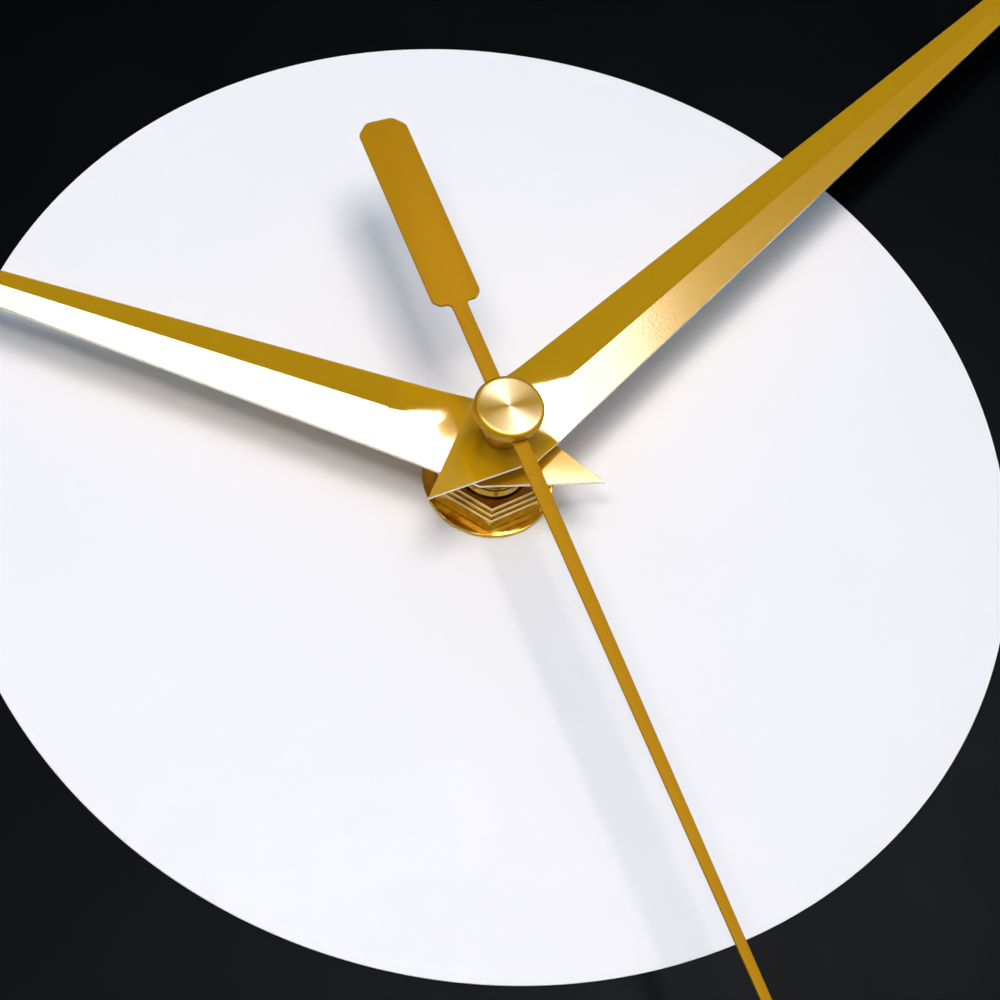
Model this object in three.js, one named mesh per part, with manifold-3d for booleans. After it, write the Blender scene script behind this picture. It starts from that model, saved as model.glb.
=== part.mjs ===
// A round wooden wall clock with its quartz movement, in millimetres, +Z up towards 12 o'clock.
// The origin is on the hand axis, in the plane of the wall: the dial faces -Y, the wall is at y = 0.
// Pieces are modelled with x to the right, y up and z out of the wall, and one group turns them
// upright at the end. "Depth" below is always the distance from the wall.
import * as THREE from 'three';
import { mergeVertices } from 'three/addons/utils/BufferGeometryUtils.js';
import Module from 'manifold-3d';

const wasm = await Module();
wasm.setup();

// Clearances
const RUNNING_GAP = 0.3;          // between a turning piece and what it turns in or beside
const SEAT_GAP = 0.3;             // round a fixed piece that is dropped or pressed in its seat
const PILOT_GAP = 0.2;            // between a hand's hole and the step that centres it
const RESTING_GAP = 0.02;         // between two flat faces that lie on each other
const CUT_OVERRUN = 0.5;          // how far a cut is carried past the faces it goes through
const JOIN_OVERLAP = 0.2;         // how deep one part of a solid reaches into the next

// Dial board
const BOARD_DIAMETER = 350;
const BOARD_THICKNESS = 6;
const BOARD_EDGE_BREAK = 0.6;
const CENTRE_DISC_DIAMETER = 121.6;
const CENTRE_DISC_THICKNESS = 0.2;

// Fasteners on the dial
const BUSH_RADIUS = 3.95;
const BUSH_ABOVE_DIAL = 4.4;
const BUSH_FLANGE_RADIUS = 6;
const BUSH_FLANGE_THICKNESS = 0.7;
const BUSH_END_CHAMFER = 0.4;
const WASHER_RADIUS = 7.5;
const WASHER_THICKNESS = 0.5;
const NUT_ACROSS_FLATS = 12;
const NUT_HEIGHT = 2.9;
const NUT_STEPS = 2;              // narrower tiers in front of the nut's body
const NUT_STEP_HEIGHT = 0.4;
const NUT_STEP_INSET = 0.45;      // how far each tier's flats stand back from the one behind
const NUT_CHAMFER = 0.2;
const NUT_CORNER_BEARING = -110;  // degrees round the hand axis, where the nut happened to stop
const GASKET_RADIUS = 10;
const GASKET_THICKNESS = 1;

// Hanger bracket
const BRACKET_THICKNESS = 0.8;
const BRACKET_ROUND_RADIUS = 13;
const BRACKET_TAB_HALF_WIDTH = 9;
const EYE_RADIUS = 4.75;
const EYE_SLOT_RADIUS = 2.15;
const EYE_ABOVE_CASE = 11;        // from the top of the case to the middle of the eye
const EYE_SLOT_RISE = 6.5;        // from the middle of the eye to the middle of the slot's top arc
const EYE_MARGIN = 4;
const BRACKET_SETBACK = 5;        // how far the tab steps back, to leave room for the nail's head
const BRACKET_BEND_START = 0.8;   // from the top of the case
const BRACKET_BEND_RISE = 4;

// Movement case
const CASE_SIDE = 56;
const CASE_DEPTH = 16;
const CASE_WALL = 1.2;
const CASE_FRONT_WALL = 1.4;
const CASE_CORNER = 3;
const COVER_THICKNESS = 1.2;
const LIP_HEIGHT = 2.4;
const LIP_THICKNESS = 0.8;
const LATCH_HEIGHT = 8;           // above the hand axis, of the cover's two snap latches
const LATCH_WIDTH = 7;
const LATCH_THICKNESS = 0.8;
const LATCH_REACH = 0.6;          // into the window in the case's wall
const LATCH_SETBACK = 0.4;        // from the lip's front edge
const BOSS_RADIUS = 1.8;
const PIVOT_FLOOR = 0.3;          // left under the hole in each pivot boss
const FRONT_BOSS_HEIGHT = 1.6;
const FRONT_PIVOT_FLOOR = 0.4;
const PLATE_THICKNESS = 0.8;
const PLATE_MARGIN = 0.6;         // between the plate and the case's walls
const PLATE_FOOT_INSET = 3.1;
const FINGER_NOTCH_RADIUS = 6.5;  // in the wall under the battery, to lift it out

// Battery and its contacts
const BATTERY_RADIUS = 7.25;
const BATTERY_LENGTH = 50.5;
const BATTERY_NUB_LENGTH = 1.3;
const BATTERY_NUB_RADIUS = 2.6;
const BATTERY_BEVEL = 0.6;
const BAY_FRONT_WALL = 0.8;
const CONTACT_THICKNESS = 0.3;
const CONTACT_WIDTH = 8;
const CONTACT_REACH = 5;          // how far it reaches either side of the battery's axis
const SPRING_WIRE = 0.5;
const SPRING_TURNS = 3;
const SPRING_BASE_RADIUS = 4.4;
const SPRING_TOP_RADIUS = 1.8;

// Wheel train
const WHEEL_THICKNESS = 0.8;
const WHEEL_RIM = 1.7;            // between the teeth's roots and the windows
const WHEEL_HUB_RADIUS = 3;
const SPOKES = 4;
const SPOKE_WINDOW_SHARE = 0.7;   // of each turn between two spokes
const MOTION_HUB_RADIUS = 1.5;
const LAYER_GAP = 0.6;            // between one wheel's layer and the next
const ADDENDUM = 0.75;            // tooth height above the pitch circle, in modules
const DEDENDUM = 1.15;
const TOOTH_TIP_SHARE = 0.14;     // tooth thickness at the tip, in tooth pitches
const TOOTH_ROOT_SHARE = 0.42;
const PIVOT_RADIUS = 0.5;
const ARBOR_RADIUS = 0.7;
const SECONDS_HUB_RADIUS = 1.2;
const SECONDS_PIPE_RADIUS = 0.8;
const TEETH = {
  rotorPinion: 6,
  stepWheel: 30,
  stepPinion: 6,
  secondsWheel: 36,
  secondsPinion: 6,
  thirdWheel: 45,
  thirdPinion: 6,
  centreWheel: 48,
  cannonPinion: 10,
  motionWheel: 30,
  motionPinion: 8,
  hourWheel: 32,
  knobPinion: 10,
};
const THIRD_DISTANCE = 10.8;
const STEP_DISTANCE = 9.66;
const ROTOR_DISTANCE = 8.28;
const MOTION_DISTANCE = 9.2;
const THIRD_BEARING = 156;        // degrees round the hand axis
const STEP_BEARING = 60;
const ROTOR_BEARING = 30;         // degrees round the step wheel
const MOTION_BEARING = 20;
const KNOB_BEARING = 20;          // degrees round the motion wheel

// Coaxial pipes on the hand axis
const SECONDS_ARBOR_RADIUS = 0.5;
const CANNON_BORE = 0.8;
const CANNON_RADIUS = 1.6;
const CANNON_THREAD_RADIUS = 1.2;
const HOUR_PIPE_BORE = 1.9;
const HOUR_PIPE_RADIUS = 2.5;
const HOUR_STEP_RADIUS = 2.15;
const BUSH_BORE = 2.8;

// Hands, from the dial's front face up
const HAND_SHEET = 0.4;
const HOUR_HAND_HEIGHT = 7.3;
const MINUTE_HAND_HEIGHT = 9.93;
const SECONDS_HAND_HEIGHT = 14.8;
const FOLD_RISE = 0.5;            // the blade's ridge above the hand's flat root
const FOLD_DROP = 0.25;           // and its edges below it
const HOUR_HAND = { length: 95, tail: 12.6, halfWidth: 5.4, shoulder: 0.4, tipHalfWidth: 0.3 };
const MINUTE_HAND = { length: 136, tail: 11.9, halfWidth: 5, shoulder: 0.6, tipHalfWidth: 0.3 };
const FOLD_START = 8.9;           // where the ridge starts, from the hand axis
const FOLD_RUN = 2.6;             // over which the ridge reaches its height
const FOLD_EDGE_START = 5.3;      // where the fold starts at the hand's edges
const FOLD_EDGE_RUN = 2.2;
const SECONDS_HAND = {
  needle: 122,
  needleRootHalfWidth: 0.92,
  needleTipHalfWidth: 0.3,
  neckHalfWidth: 0.92,
  paddleFrom: 15,
  paddleTo: 41.6,
  paddleHalfWidth: 2.9,
  paddleCorner: 1.3,
  paddleShoulder: 0.78,
  sheet: 0.35,
};
const CAP_RADIUS = 3.95;
const CAP_HEIGHT = 1.5;
const CAP_BEVEL = 0.5;
const CAP_FOOT_INSET = 0.25;
const MINUTE_THREAD_LENGTH = 1.8; // of the cannon's end, in front of the minute hand
const MINUTE_NUT_FOOT_RADIUS = 1.9;
const MINUTE_NUT_RADIUS = 2.8;
const MINUTE_NUT_HEIGHT = 3.5;
const MINUTE_NUT_BEVEL = 0.2;
const HUB_RADIUS = 1.15;
const HUB_HEIGHT = 2;
const HOUR_ANGLE = 305.6;         // degrees clockwise from 12: ten past ten and half a minute
const MINUTE_ANGLE = 62.5;
const SECONDS_ANGLE = 178.5;

// Motor and electronics
const MAGNET_RADIUS = 3;
const MAGNET_COLLAR_RADIUS = 1.2;
const STATOR_THICKNESS = 1;
const STATOR_RING = 2.2;
const STATOR_ARM = 3;
const COIL_HEIGHT = 22.2;         // above the hand axis
const COIL_HALF_LENGTH = 11;
const COIL_FLANGE_RADIUS = 3.6;
const COIL_FLANGE_THICKNESS = 0.8;
const WINDING_RADIUS = 3.2;
const BOBBIN_BARREL_RADIUS = 2;
const CORE_HALF_WIDTH = 1.1;
const CORE_END_HALF_WIDTH = 2.2;
const CORE_THICKNESS = 1;
const POST_X = 16;
const POST_RADIUS = 2.2;
const SCREW_RADIUS = 0.8;
const SCREW_LENGTH = 5;
const SCREW_HEAD_RADIUS = 1.7;
const SCREW_HEAD_HEIGHT = 0.9;
const SCREW_SLOT_WIDTH = 0.5;
const SCREW_SLOT_DEPTH = 0.45;
const PCB = {
  left: -25,
  right: -4,
  bottom: 8.6,
  top: 17.6,
  thickness: 1,
  standoff: 0.9,
  corner: 0.8,
  pegInset: 2.4,
};
const CHIP_RADIUS = 2.4;
const CHIP_HEIGHT = 1.1;
const CHIP_INSET = 7.5;           // from the board's right edge
const CRYSTAL_RADIUS = 1;
const CRYSTAL_LENGTH = 6;
const CRYSTAL_INSET = 5.5;        // from the board's left edge

// Setting knob
const KNOB_RADIUS = 5.5;
const KNOB_DEPTH = 2.4;
const KNOB_RECESS = 0.5;          // how far the knob stays below the back of the case
const KNOB_FLUTES = 24;
const KNOB_FLUTE_DEPTH = 0.3;
const KNOB_DISH_RADIUS = 3;
const KNOB_DISH_DEPTH = 0.6;
const KNOB_STEM_RADIUS = 1.2;
const WELL_WALL = 0.9;
const WELL_FLOOR = 0.8;

// Facets round a full turn
const FINE = 128;
const ROUND = 36;
const SMALL = 16;
const TINY = 10;
const CORNER = 4;                 // facets round the quarter of a corner

// Depths from the wall, all worked out from the sizes above
const caseInnerFront = CASE_DEPTH - CASE_FRONT_WALL;
const bracketBack = CASE_DEPTH + RESTING_GAP;
const bracketFront = bracketBack + BRACKET_THICKNESS;
const gasketBack = bracketFront + RESTING_GAP;
const gasketFront = gasketBack + GASKET_THICKNESS;
const boardBack = gasketFront + RESTING_GAP;
const boardFront = boardBack + BOARD_THICKNESS;
const discBack = boardFront + RESTING_GAP;
const dialFace = discBack + CENTRE_DISC_THICKNESS;
const washerBack = dialFace + RESTING_GAP;
const washerFront = washerBack + WASHER_THICKNESS;
const nutBack = washerFront + RESTING_GAP;
const nutFront = nutBack + NUT_HEIGHT;
const bushFront = dialFace + BUSH_ABOVE_DIAL;
const hourHandFront = dialFace + HOUR_HAND_HEIGHT;
const hourHandBack = hourHandFront - HAND_SHEET;
const minuteHandFront = dialFace + MINUTE_HAND_HEIGHT;
const minuteHandBack = minuteHandFront - HAND_SHEET;
const secondsHandFront = dialFace + SECONDS_HAND_HEIGHT;
const secondsHandBack = secondsHandFront - SECONDS_HAND.sheet;

// Layers of the train, from the front of the case back to the motor
const bushFlangeFront = caseInnerFront - RESTING_GAP;
const bushFlangeBack = bushFlangeFront - BUSH_FLANGE_THICKNESS;
const layerStep = WHEEL_THICKNESS + LAYER_GAP;
const hourLayer = bushFlangeBack - RUNNING_GAP - WHEEL_THICKNESS;
const motionLayer = hourLayer - layerStep;
const centreLayer = motionLayer - layerStep;
const plateBack = centreLayer - RUNNING_GAP - PLATE_THICKNESS;
const plateFront = plateBack + PLATE_THICKNESS;
const thirdLayer = plateBack - RUNNING_GAP - WHEEL_THICKNESS;
const secondsLayer = thirdLayer - layerStep;
const stepLayer = secondsLayer - layerStep;
const bossFront = stepLayer - RUNNING_GAP;
const frontBossBack = caseInnerFront - FRONT_BOSS_HEIGHT;
const frontPivotEnd = caseInnerFront - FRONT_PIVOT_FLOOR;
const pivotBack = COVER_THICKNESS + PIVOT_FLOOR + RUNNING_GAP;
const magnetBack = stepLayer + layerStep;
const magnetFront = plateBack - RUNNING_GAP;
const statorBack = (magnetBack + magnetFront - STATOR_THICKNESS) / 2;
const statorFront = statorBack + STATOR_THICKNESS;
const coreFront = statorBack - RESTING_GAP;
const coreBack = coreFront - CORE_THICKNESS;
const screwHeadFront = coreBack - RESTING_GAP;
const screwHeadBack = screwHeadFront - SCREW_HEAD_HEIGHT;

// Snap latches on the cover's lip
const latchFront = COVER_THICKNESS + LIP_HEIGHT - LATCH_SETBACK;
const latchBack = latchFront - LATCH_THICKNESS;

// Circuit board on the back cover
const boardBackDepth = COVER_THICKNESS + PCB.standoff;
const boardPartsDepth = boardBackDepth + PCB.thickness + RESTING_GAP;

// Battery bay along the bottom of the case
const caseHalf = CASE_SIDE / 2;
const caseInner = caseHalf - CASE_WALL;
const batteryY = -caseInner + SEAT_GAP + BATTERY_RADIUS;
const batteryDepth = CASE_DEPTH - BAY_FRONT_WALL - SEAT_GAP - BATTERY_RADIUS;
const bayTop = batteryY + BATTERY_RADIUS + SEAT_GAP;
const contactFront = caseInner - SEAT_GAP - CONTACT_THICKNESS;
const batteryRight = contactFront - SEAT_GAP;
const batteryLeft = batteryRight - BATTERY_LENGTH;
const trainBottom = bayTop + CASE_WALL;

// Where each arbor stands, seen from the front
const centreAt = { x: 0, y: 0 };
const thirdAt = around(centreAt, THIRD_DISTANCE, THIRD_BEARING);
const stepAt = around(centreAt, STEP_DISTANCE, STEP_BEARING);
const rotorAt = around(stepAt, ROTOR_DISTANCE, ROTOR_BEARING);
const motionAt = around(centreAt, MOTION_DISTANCE, MOTION_BEARING);
const knobAt = around(motionAt, MOTION_DISTANCE, KNOB_BEARING);

// Middle plate
const plateRight = caseInner - PLATE_MARGIN;
const plateBottom = trainBottom + PLATE_MARGIN;
const plateTop = rotorAt.y + 2 * BOSS_RADIUS;

// Modules follow from the distances and the tooth counts
const modules = {
  third: moduleFor(THIRD_DISTANCE, TEETH.thirdWheel, TEETH.secondsPinion),
  centre: moduleFor(THIRD_DISTANCE, TEETH.centreWheel, TEETH.thirdPinion),
  seconds: moduleFor(STEP_DISTANCE, TEETH.secondsWheel, TEETH.stepPinion),
  step: moduleFor(ROTOR_DISTANCE, TEETH.stepWheel, TEETH.rotorPinion),
  cannon: moduleFor(MOTION_DISTANCE, TEETH.cannonPinion, TEETH.motionWheel),
  hour: moduleFor(MOTION_DISTANCE, TEETH.hourWheel, TEETH.motionPinion),
};

// The angle of one tooth of each wheel, so that every pair is in mesh at rest
const phases = { secondsWheel: 0, secondsPinion: 0, cannonPinion: 0, centreWheel: 0 };
phases.thirdWheel = meshPhase(phases.secondsPinion, TEETH.secondsPinion, TEETH.thirdWheel, THIRD_BEARING);
phases.thirdPinion = meshPhase(phases.centreWheel, TEETH.centreWheel, TEETH.thirdPinion, THIRD_BEARING);
phases.stepPinion = meshPhase(phases.secondsWheel, TEETH.secondsWheel, TEETH.stepPinion, STEP_BEARING);
phases.stepWheel = 0;
phases.rotorPinion = meshPhase(phases.stepWheel, TEETH.stepWheel, TEETH.rotorPinion, ROTOR_BEARING);
phases.motionWheel = meshPhase(phases.cannonPinion, TEETH.cannonPinion, TEETH.motionWheel, MOTION_BEARING);
phases.motionPinion = 0;
phases.hourWheel = meshPhase(phases.motionPinion, TEETH.motionPinion, TEETH.hourWheel, MOTION_BEARING + 180);
phases.knobPinion = meshPhase(phases.motionWheel, TEETH.motionWheel, TEETH.knobPinion, KNOB_BEARING);

// Materials, with the colours seen on the clock
const finishes = {
  blackLacquer: material(0x0d0e12, 0.22, 0),
  whitePrint: material(0xf3f4f8, 0.5, 0),
  goldSheet: material(0xb88a1e, 0.32, 1),
  goldFlat: material(0xb4850f, 0.42, 1),
  goldSpun: material(0xd7a24a, 0.25, 1),
  brass: material(0xc8922a, 0.2, 1),
  zincSteel: material(0xb9bcc0, 0.4, 1),
  blackRubber: material(0x17181a, 0.85, 0),
  blackPlastic: material(0x1b1c1f, 0.55, 0),
  greyPlastic: material(0x8d9196, 0.6, 0),
  whitePlastic: material(0xe9e6dc, 0.5, 0),
  springSteel: material(0xcfd2d6, 0.3, 1),
  batteryWrap: material(0x3e6e4e, 0.35, 0),
  greenBoard: material(0x1f6a3c, 0.5, 0),
  blackResin: material(0x111214, 0.3, 0),
  copper: material(0xb5622d, 0.35, 1),
  siliconSteel: material(0x84888d, 0.5, 1),
  magnet: material(0x2f3134, 0.6, 0.4),
};

function material(color, roughness, metalness) {
  return new THREE.MeshStandardMaterial({ color, roughness, metalness });
}

function radians(degrees) {
  return THREE.MathUtils.degToRad(degrees);
}

function around(middle, distance, bearing) {
  return {
    x: middle.x + distance * Math.cos(radians(bearing)),
    y: middle.y + distance * Math.sin(radians(bearing)),
  };
}

function moduleFor(distance, teeth, otherTeeth) {
  return (2 * distance) / (teeth + otherTeeth);
}

// The phase of a gear that stands at a bearing from another and has to mesh with it
function meshPhase(phase, teeth, otherTeeth, bearing) {
  const pitch = 360 / teeth;
  const otherPitch = 360 / otherTeeth;
  const share = (bearing - phase) / pitch;
  return bearing + 180 - otherPitch * (0.5 - share);
}

// Solids and meshes

function toSolid(geometry) {
  const bare = geometry.index ? geometry.toNonIndexed() : geometry.clone();
  bare.deleteAttribute('normal');
  bare.deleteAttribute('uv');
  const merged = mergeVertices(bare);
  const mesh = new wasm.Mesh({
    numProp: 3,
    vertProperties: Float32Array.from(merged.attributes.position.array),
    triVerts: Uint32Array.from(merged.index.array),
  });
  return new wasm.Manifold(mesh);
}

function toMesh(name, solid, finish) {
  const { vertProperties, triVerts } = solid.getMesh();
  const geometry = new THREE.BufferGeometry();
  geometry.setAttribute('position', new THREE.BufferAttribute(vertProperties, 3));
  geometry.setIndex(new THREE.BufferAttribute(triVerts, 1));
  geometry.computeVertexNormals();
  const mesh = new THREE.Mesh(geometry, finish);
  mesh.name = name;
  return mesh;
}

// A round bar between two depths
function bar(radius, back, front, facets = SMALL, at = centreAt) {
  const geometry = new THREE.CylinderGeometry(radius, radius, front - back, facets);
  geometry.rotateX(Math.PI / 2);
  geometry.translate(at.x, at.y, (back + front) / 2);
  return toSolid(geometry);
}

// A round bar that reaches a little past both faces of what it cuts
function drill(radius, back, front, facets = SMALL, at = centreAt) {
  return bar(radius, back - CUT_OVERRUN, front + CUT_OVERRUN, facets, at);
}

// A turned piece from a profile of [radius, depth] that starts and ends on the axis, back to front
function turned(profile, facets = SMALL, at = centreAt) {
  const points = profile.map(([radius, depth]) => new THREE.Vector2(radius, depth));
  const geometry = new THREE.LatheGeometry(points, facets);
  geometry.rotateX(Math.PI / 2);
  geometry.translate(at.x, at.y, 0);
  return toSolid(geometry);
}

// The quarter-round edge between a turned piece's side and its front, as profile points
function roundedEdge(radius, front, size) {
  const steps = 3;
  const points = [];
  for (let step = 0; step <= steps; step += 1) {
    const angle = (step / steps) * (Math.PI / 2);
    points.push([radius - size * (1 - Math.cos(angle)), front - size * (1 - Math.sin(angle))]);
  }
  return points;
}

// A flat piece from a shape, between two depths
function plate(shape, back, front, curveSegments = 12) {
  const geometry = new THREE.ExtrudeGeometry(shape, {
    depth: front - back,
    bevelEnabled: false,
    curveSegments,
  });
  geometry.translate(0, 0, back);
  return toSolid(geometry);
}

function block(left, right, bottom, top, back, front) {
  const geometry = new THREE.BoxGeometry(right - left, top - bottom, front - back);
  geometry.translate((left + right) / 2, (bottom + top) / 2, (back + front) / 2);
  return toSolid(geometry);
}

function roundedRectangle(left, right, bottom, top, corner) {
  const shape = new THREE.Shape();
  shape.moveTo(left + corner, bottom);
  shape.lineTo(right - corner, bottom);
  shape.absarc(right - corner, bottom + corner, corner, -Math.PI / 2, 0);
  shape.lineTo(right, top - corner);
  shape.absarc(right - corner, top - corner, corner, 0, Math.PI / 2);
  shape.lineTo(left + corner, top);
  shape.absarc(left + corner, top - corner, corner, Math.PI / 2, Math.PI);
  shape.lineTo(left, bottom + corner);
  shape.absarc(left + corner, bottom + corner, corner, Math.PI, 1.5 * Math.PI);
  return shape;
}

// Gears

// One closed outline of straight-flanked teeth
function gearShape(teeth, module, phase) {
  const pitchRadius = (teeth * module) / 2;
  const rootRadius = pitchRadius - DEDENDUM * module;
  const tipRadius = pitchRadius + ADDENDUM * module;
  const pitch = 360 / teeth;
  const stations = [
    [rootRadius, -TOOTH_ROOT_SHARE / 2],
    [tipRadius, -TOOTH_TIP_SHARE / 2],
    [tipRadius, TOOTH_TIP_SHARE / 2],
    [rootRadius, TOOTH_ROOT_SHARE / 2],
  ];
  const points = [];
  for (let tooth = 0; tooth < teeth; tooth += 1) {
    for (const [radius, share] of stations) {
      const angle = radians(phase + pitch * (tooth + share));
      points.push(new THREE.Vector2(radius * Math.cos(angle), radius * Math.sin(angle)));
    }
  }
  return new THREE.Shape(points);
}

function gear(teeth, module, phase, back, at = centreAt) {
  return plate(gearShape(teeth, module, phase), back, back + WHEEL_THICKNESS).translate([at.x, at.y, 0]);
}

// The windows of a wheel, cut between its spokes
function spokeWindows(teeth, module, back, at = centreAt) {
  const outer = (teeth / 2 - DEDENDUM) * module - WHEEL_RIM;
  const step = (2 * Math.PI) / SPOKES;
  const windows = [];
  for (let index = 0; index < SPOKES; index += 1) {
    const from = index * step;
    const to = from + step * SPOKE_WINDOW_SHARE;
    const shape = new THREE.Shape();
    shape.absarc(0, 0, outer, from, to, false);
    shape.absarc(0, 0, WHEEL_HUB_RADIUS, to, from, true);
    const window = plate(shape, back - CUT_OVERRUN, back + WHEEL_THICKNESS + CUT_OVERRUN, CORNER);
    windows.push(window.translate([at.x, at.y, 0]));
  }
  return windows;
}

function cutAll(solid, tools) {
  return tools.reduce((body, tool) => body.subtract(tool), solid);
}

function joinAll(solids) {
  return solids.reduce((body, piece) => body.add(piece));
}

// Dial

function dialBoard() {
  const radius = BOARD_DIAMETER / 2;
  const profile = [
    [0, boardBack],
    [radius - BOARD_EDGE_BREAK, boardBack],
    [radius, boardBack + BOARD_EDGE_BREAK],
    [radius, boardFront - BOARD_EDGE_BREAK],
    [radius - BOARD_EDGE_BREAK, boardFront],
    [0, boardFront],
  ];
  const hole = drill(BUSH_RADIUS + SEAT_GAP, boardBack, boardFront, SMALL);
  return toMesh('dial_board', turned(profile, FINE).subtract(hole), finishes.blackLacquer);
}

function centreDisc() {
  const disc = bar(CENTRE_DISC_DIAMETER / 2, discBack, dialFace, FINE);
  const hole = drill(BUSH_RADIUS + SEAT_GAP, discBack, dialFace, SMALL);
  return toMesh('centre_disc', disc.subtract(hole), finishes.whitePrint);
}

// Dial fasteners

function dialWasher() {
  const ring = bar(WASHER_RADIUS, washerBack, washerFront, ROUND);
  const hole = drill(BUSH_RADIUS + SEAT_GAP, washerBack, washerFront, SMALL);
  return toMesh('dial_washer', ring.subtract(hole), finishes.brass);
}

// A hexagonal bar whose front edges carry a chamfer
function hexagon(acrossFlats, back, front) {
  const corner = acrossFlats / 2 / Math.cos(Math.PI / 6);
  const rows = [
    [0, back],
    [corner, back],
    [corner, front - NUT_CHAMFER],
    [corner - NUT_CHAMFER, front],
    [0, front],
  ];
  const points = rows.map(([radius, depth]) => new THREE.Vector2(radius, depth));
  const geometry = new THREE.LatheGeometry(points, 6);
  geometry.rotateX(Math.PI / 2);
  geometry.rotateZ(radians(NUT_CORNER_BEARING) + Math.PI / 2);
  return toSolid(geometry);
}

function dialNut() {
  const tiers = [];
  for (let step = 0; step <= NUT_STEPS; step += 1) {
    const width = NUT_ACROSS_FLATS - 2 * step * NUT_STEP_INSET;
    const front = nutFront - (NUT_STEPS - step) * NUT_STEP_HEIGHT;
    tiers.push(hexagon(width, nutBack, front));
  }
  const hole = drill(BUSH_RADIUS + SEAT_GAP, nutBack, nutFront, SMALL);
  return toMesh('dial_nut', joinAll(tiers).subtract(hole), finishes.brass);
}

function threadedBush() {
  const profile = [
    [0, bushFlangeBack],
    [BUSH_FLANGE_RADIUS, bushFlangeBack],
    [BUSH_FLANGE_RADIUS, bushFlangeFront],
    [BUSH_RADIUS, bushFlangeFront],
    [BUSH_RADIUS, bushFront - BUSH_END_CHAMFER],
    [BUSH_RADIUS - BUSH_END_CHAMFER, bushFront],
    [0, bushFront],
  ];
  const bore = drill(BUSH_BORE, bushFlangeBack, bushFront, SMALL);
  return toMesh('threaded_bush', turned(profile, ROUND).subtract(bore), finishes.brass);
}

function rubberGasket() {
  const ring = bar(GASKET_RADIUS, gasketBack, gasketFront, ROUND);
  const hole = drill(BUSH_RADIUS + SEAT_GAP, gasketBack, gasketFront, SMALL);
  return toMesh('rubber_gasket', ring.subtract(hole), finishes.blackRubber);
}

// Hanger: a round foot under the gasket and a tab that steps back above the case, with a keyhole
function hangerBracket() {
  const eyeY = caseHalf + EYE_ABOVE_CASE;
  const slotY = eyeY + EYE_SLOT_RISE;
  const tabTop = slotY + EYE_SLOT_RADIUS + EYE_MARGIN;
  const bendFrom = caseHalf + BRACKET_BEND_START;
  const bendTo = bendFrom + BRACKET_BEND_RISE;
  const tabFront = bracketFront - BRACKET_SETBACK;
  const tabBack = bracketBack - BRACKET_SETBACK;
  const side = new THREE.Shape([
    new THREE.Vector2(bracketFront, 0),
    new THREE.Vector2(bracketFront, bendFrom),
    new THREE.Vector2(tabFront, bendTo),
    new THREE.Vector2(tabFront, tabTop),
    new THREE.Vector2(tabBack, tabTop),
    new THREE.Vector2(tabBack, bendTo - BRACKET_THICKNESS / 2),
    new THREE.Vector2(bracketBack, bendFrom - BRACKET_THICKNESS / 2),
    new THREE.Vector2(bracketBack, 0),
  ]);
  const strip = plate(side, -BRACKET_TAB_HALF_WIDTH, BRACKET_TAB_HALF_WIDTH).rotate([0, -90, 0]);
  const outline = roundedRectangle(
    -BRACKET_TAB_HALF_WIDTH, BRACKET_TAB_HALF_WIDTH, 0, tabTop, EYE_MARGIN);
  const tab = strip.intersect(plate(outline, 0, 2 * CASE_DEPTH, CORNER));
  const foot = bar(BRACKET_ROUND_RADIUS, bracketBack, bracketFront, ROUND);
  const eye = drill(EYE_RADIUS, tabBack, tabFront, SMALL, { x: 0, y: eyeY });
  const slotEnd = drill(EYE_SLOT_RADIUS, tabBack, tabFront, SMALL, { x: 0, y: slotY });
  const slot = block(
    -EYE_SLOT_RADIUS, EYE_SLOT_RADIUS, eyeY, slotY, tabBack - CUT_OVERRUN, tabFront + CUT_OVERRUN);
  const hole = drill(BUSH_RADIUS + SEAT_GAP, bracketBack, bracketFront, SMALL);
  return toMesh('hanger_bracket', cutAll(foot.add(tab), [eye, slotEnd, slot, hole]), finishes.zincSteel);
}

// Movement case and plates

function bossWithHole(at, back, front, holeRadius, holeBack, holeFront) {
  const boss = bar(BOSS_RADIUS, back, front, TINY, at);
  return { boss, hole: bar(holeRadius, holeBack, holeFront, TINY, at) };
}

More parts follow.
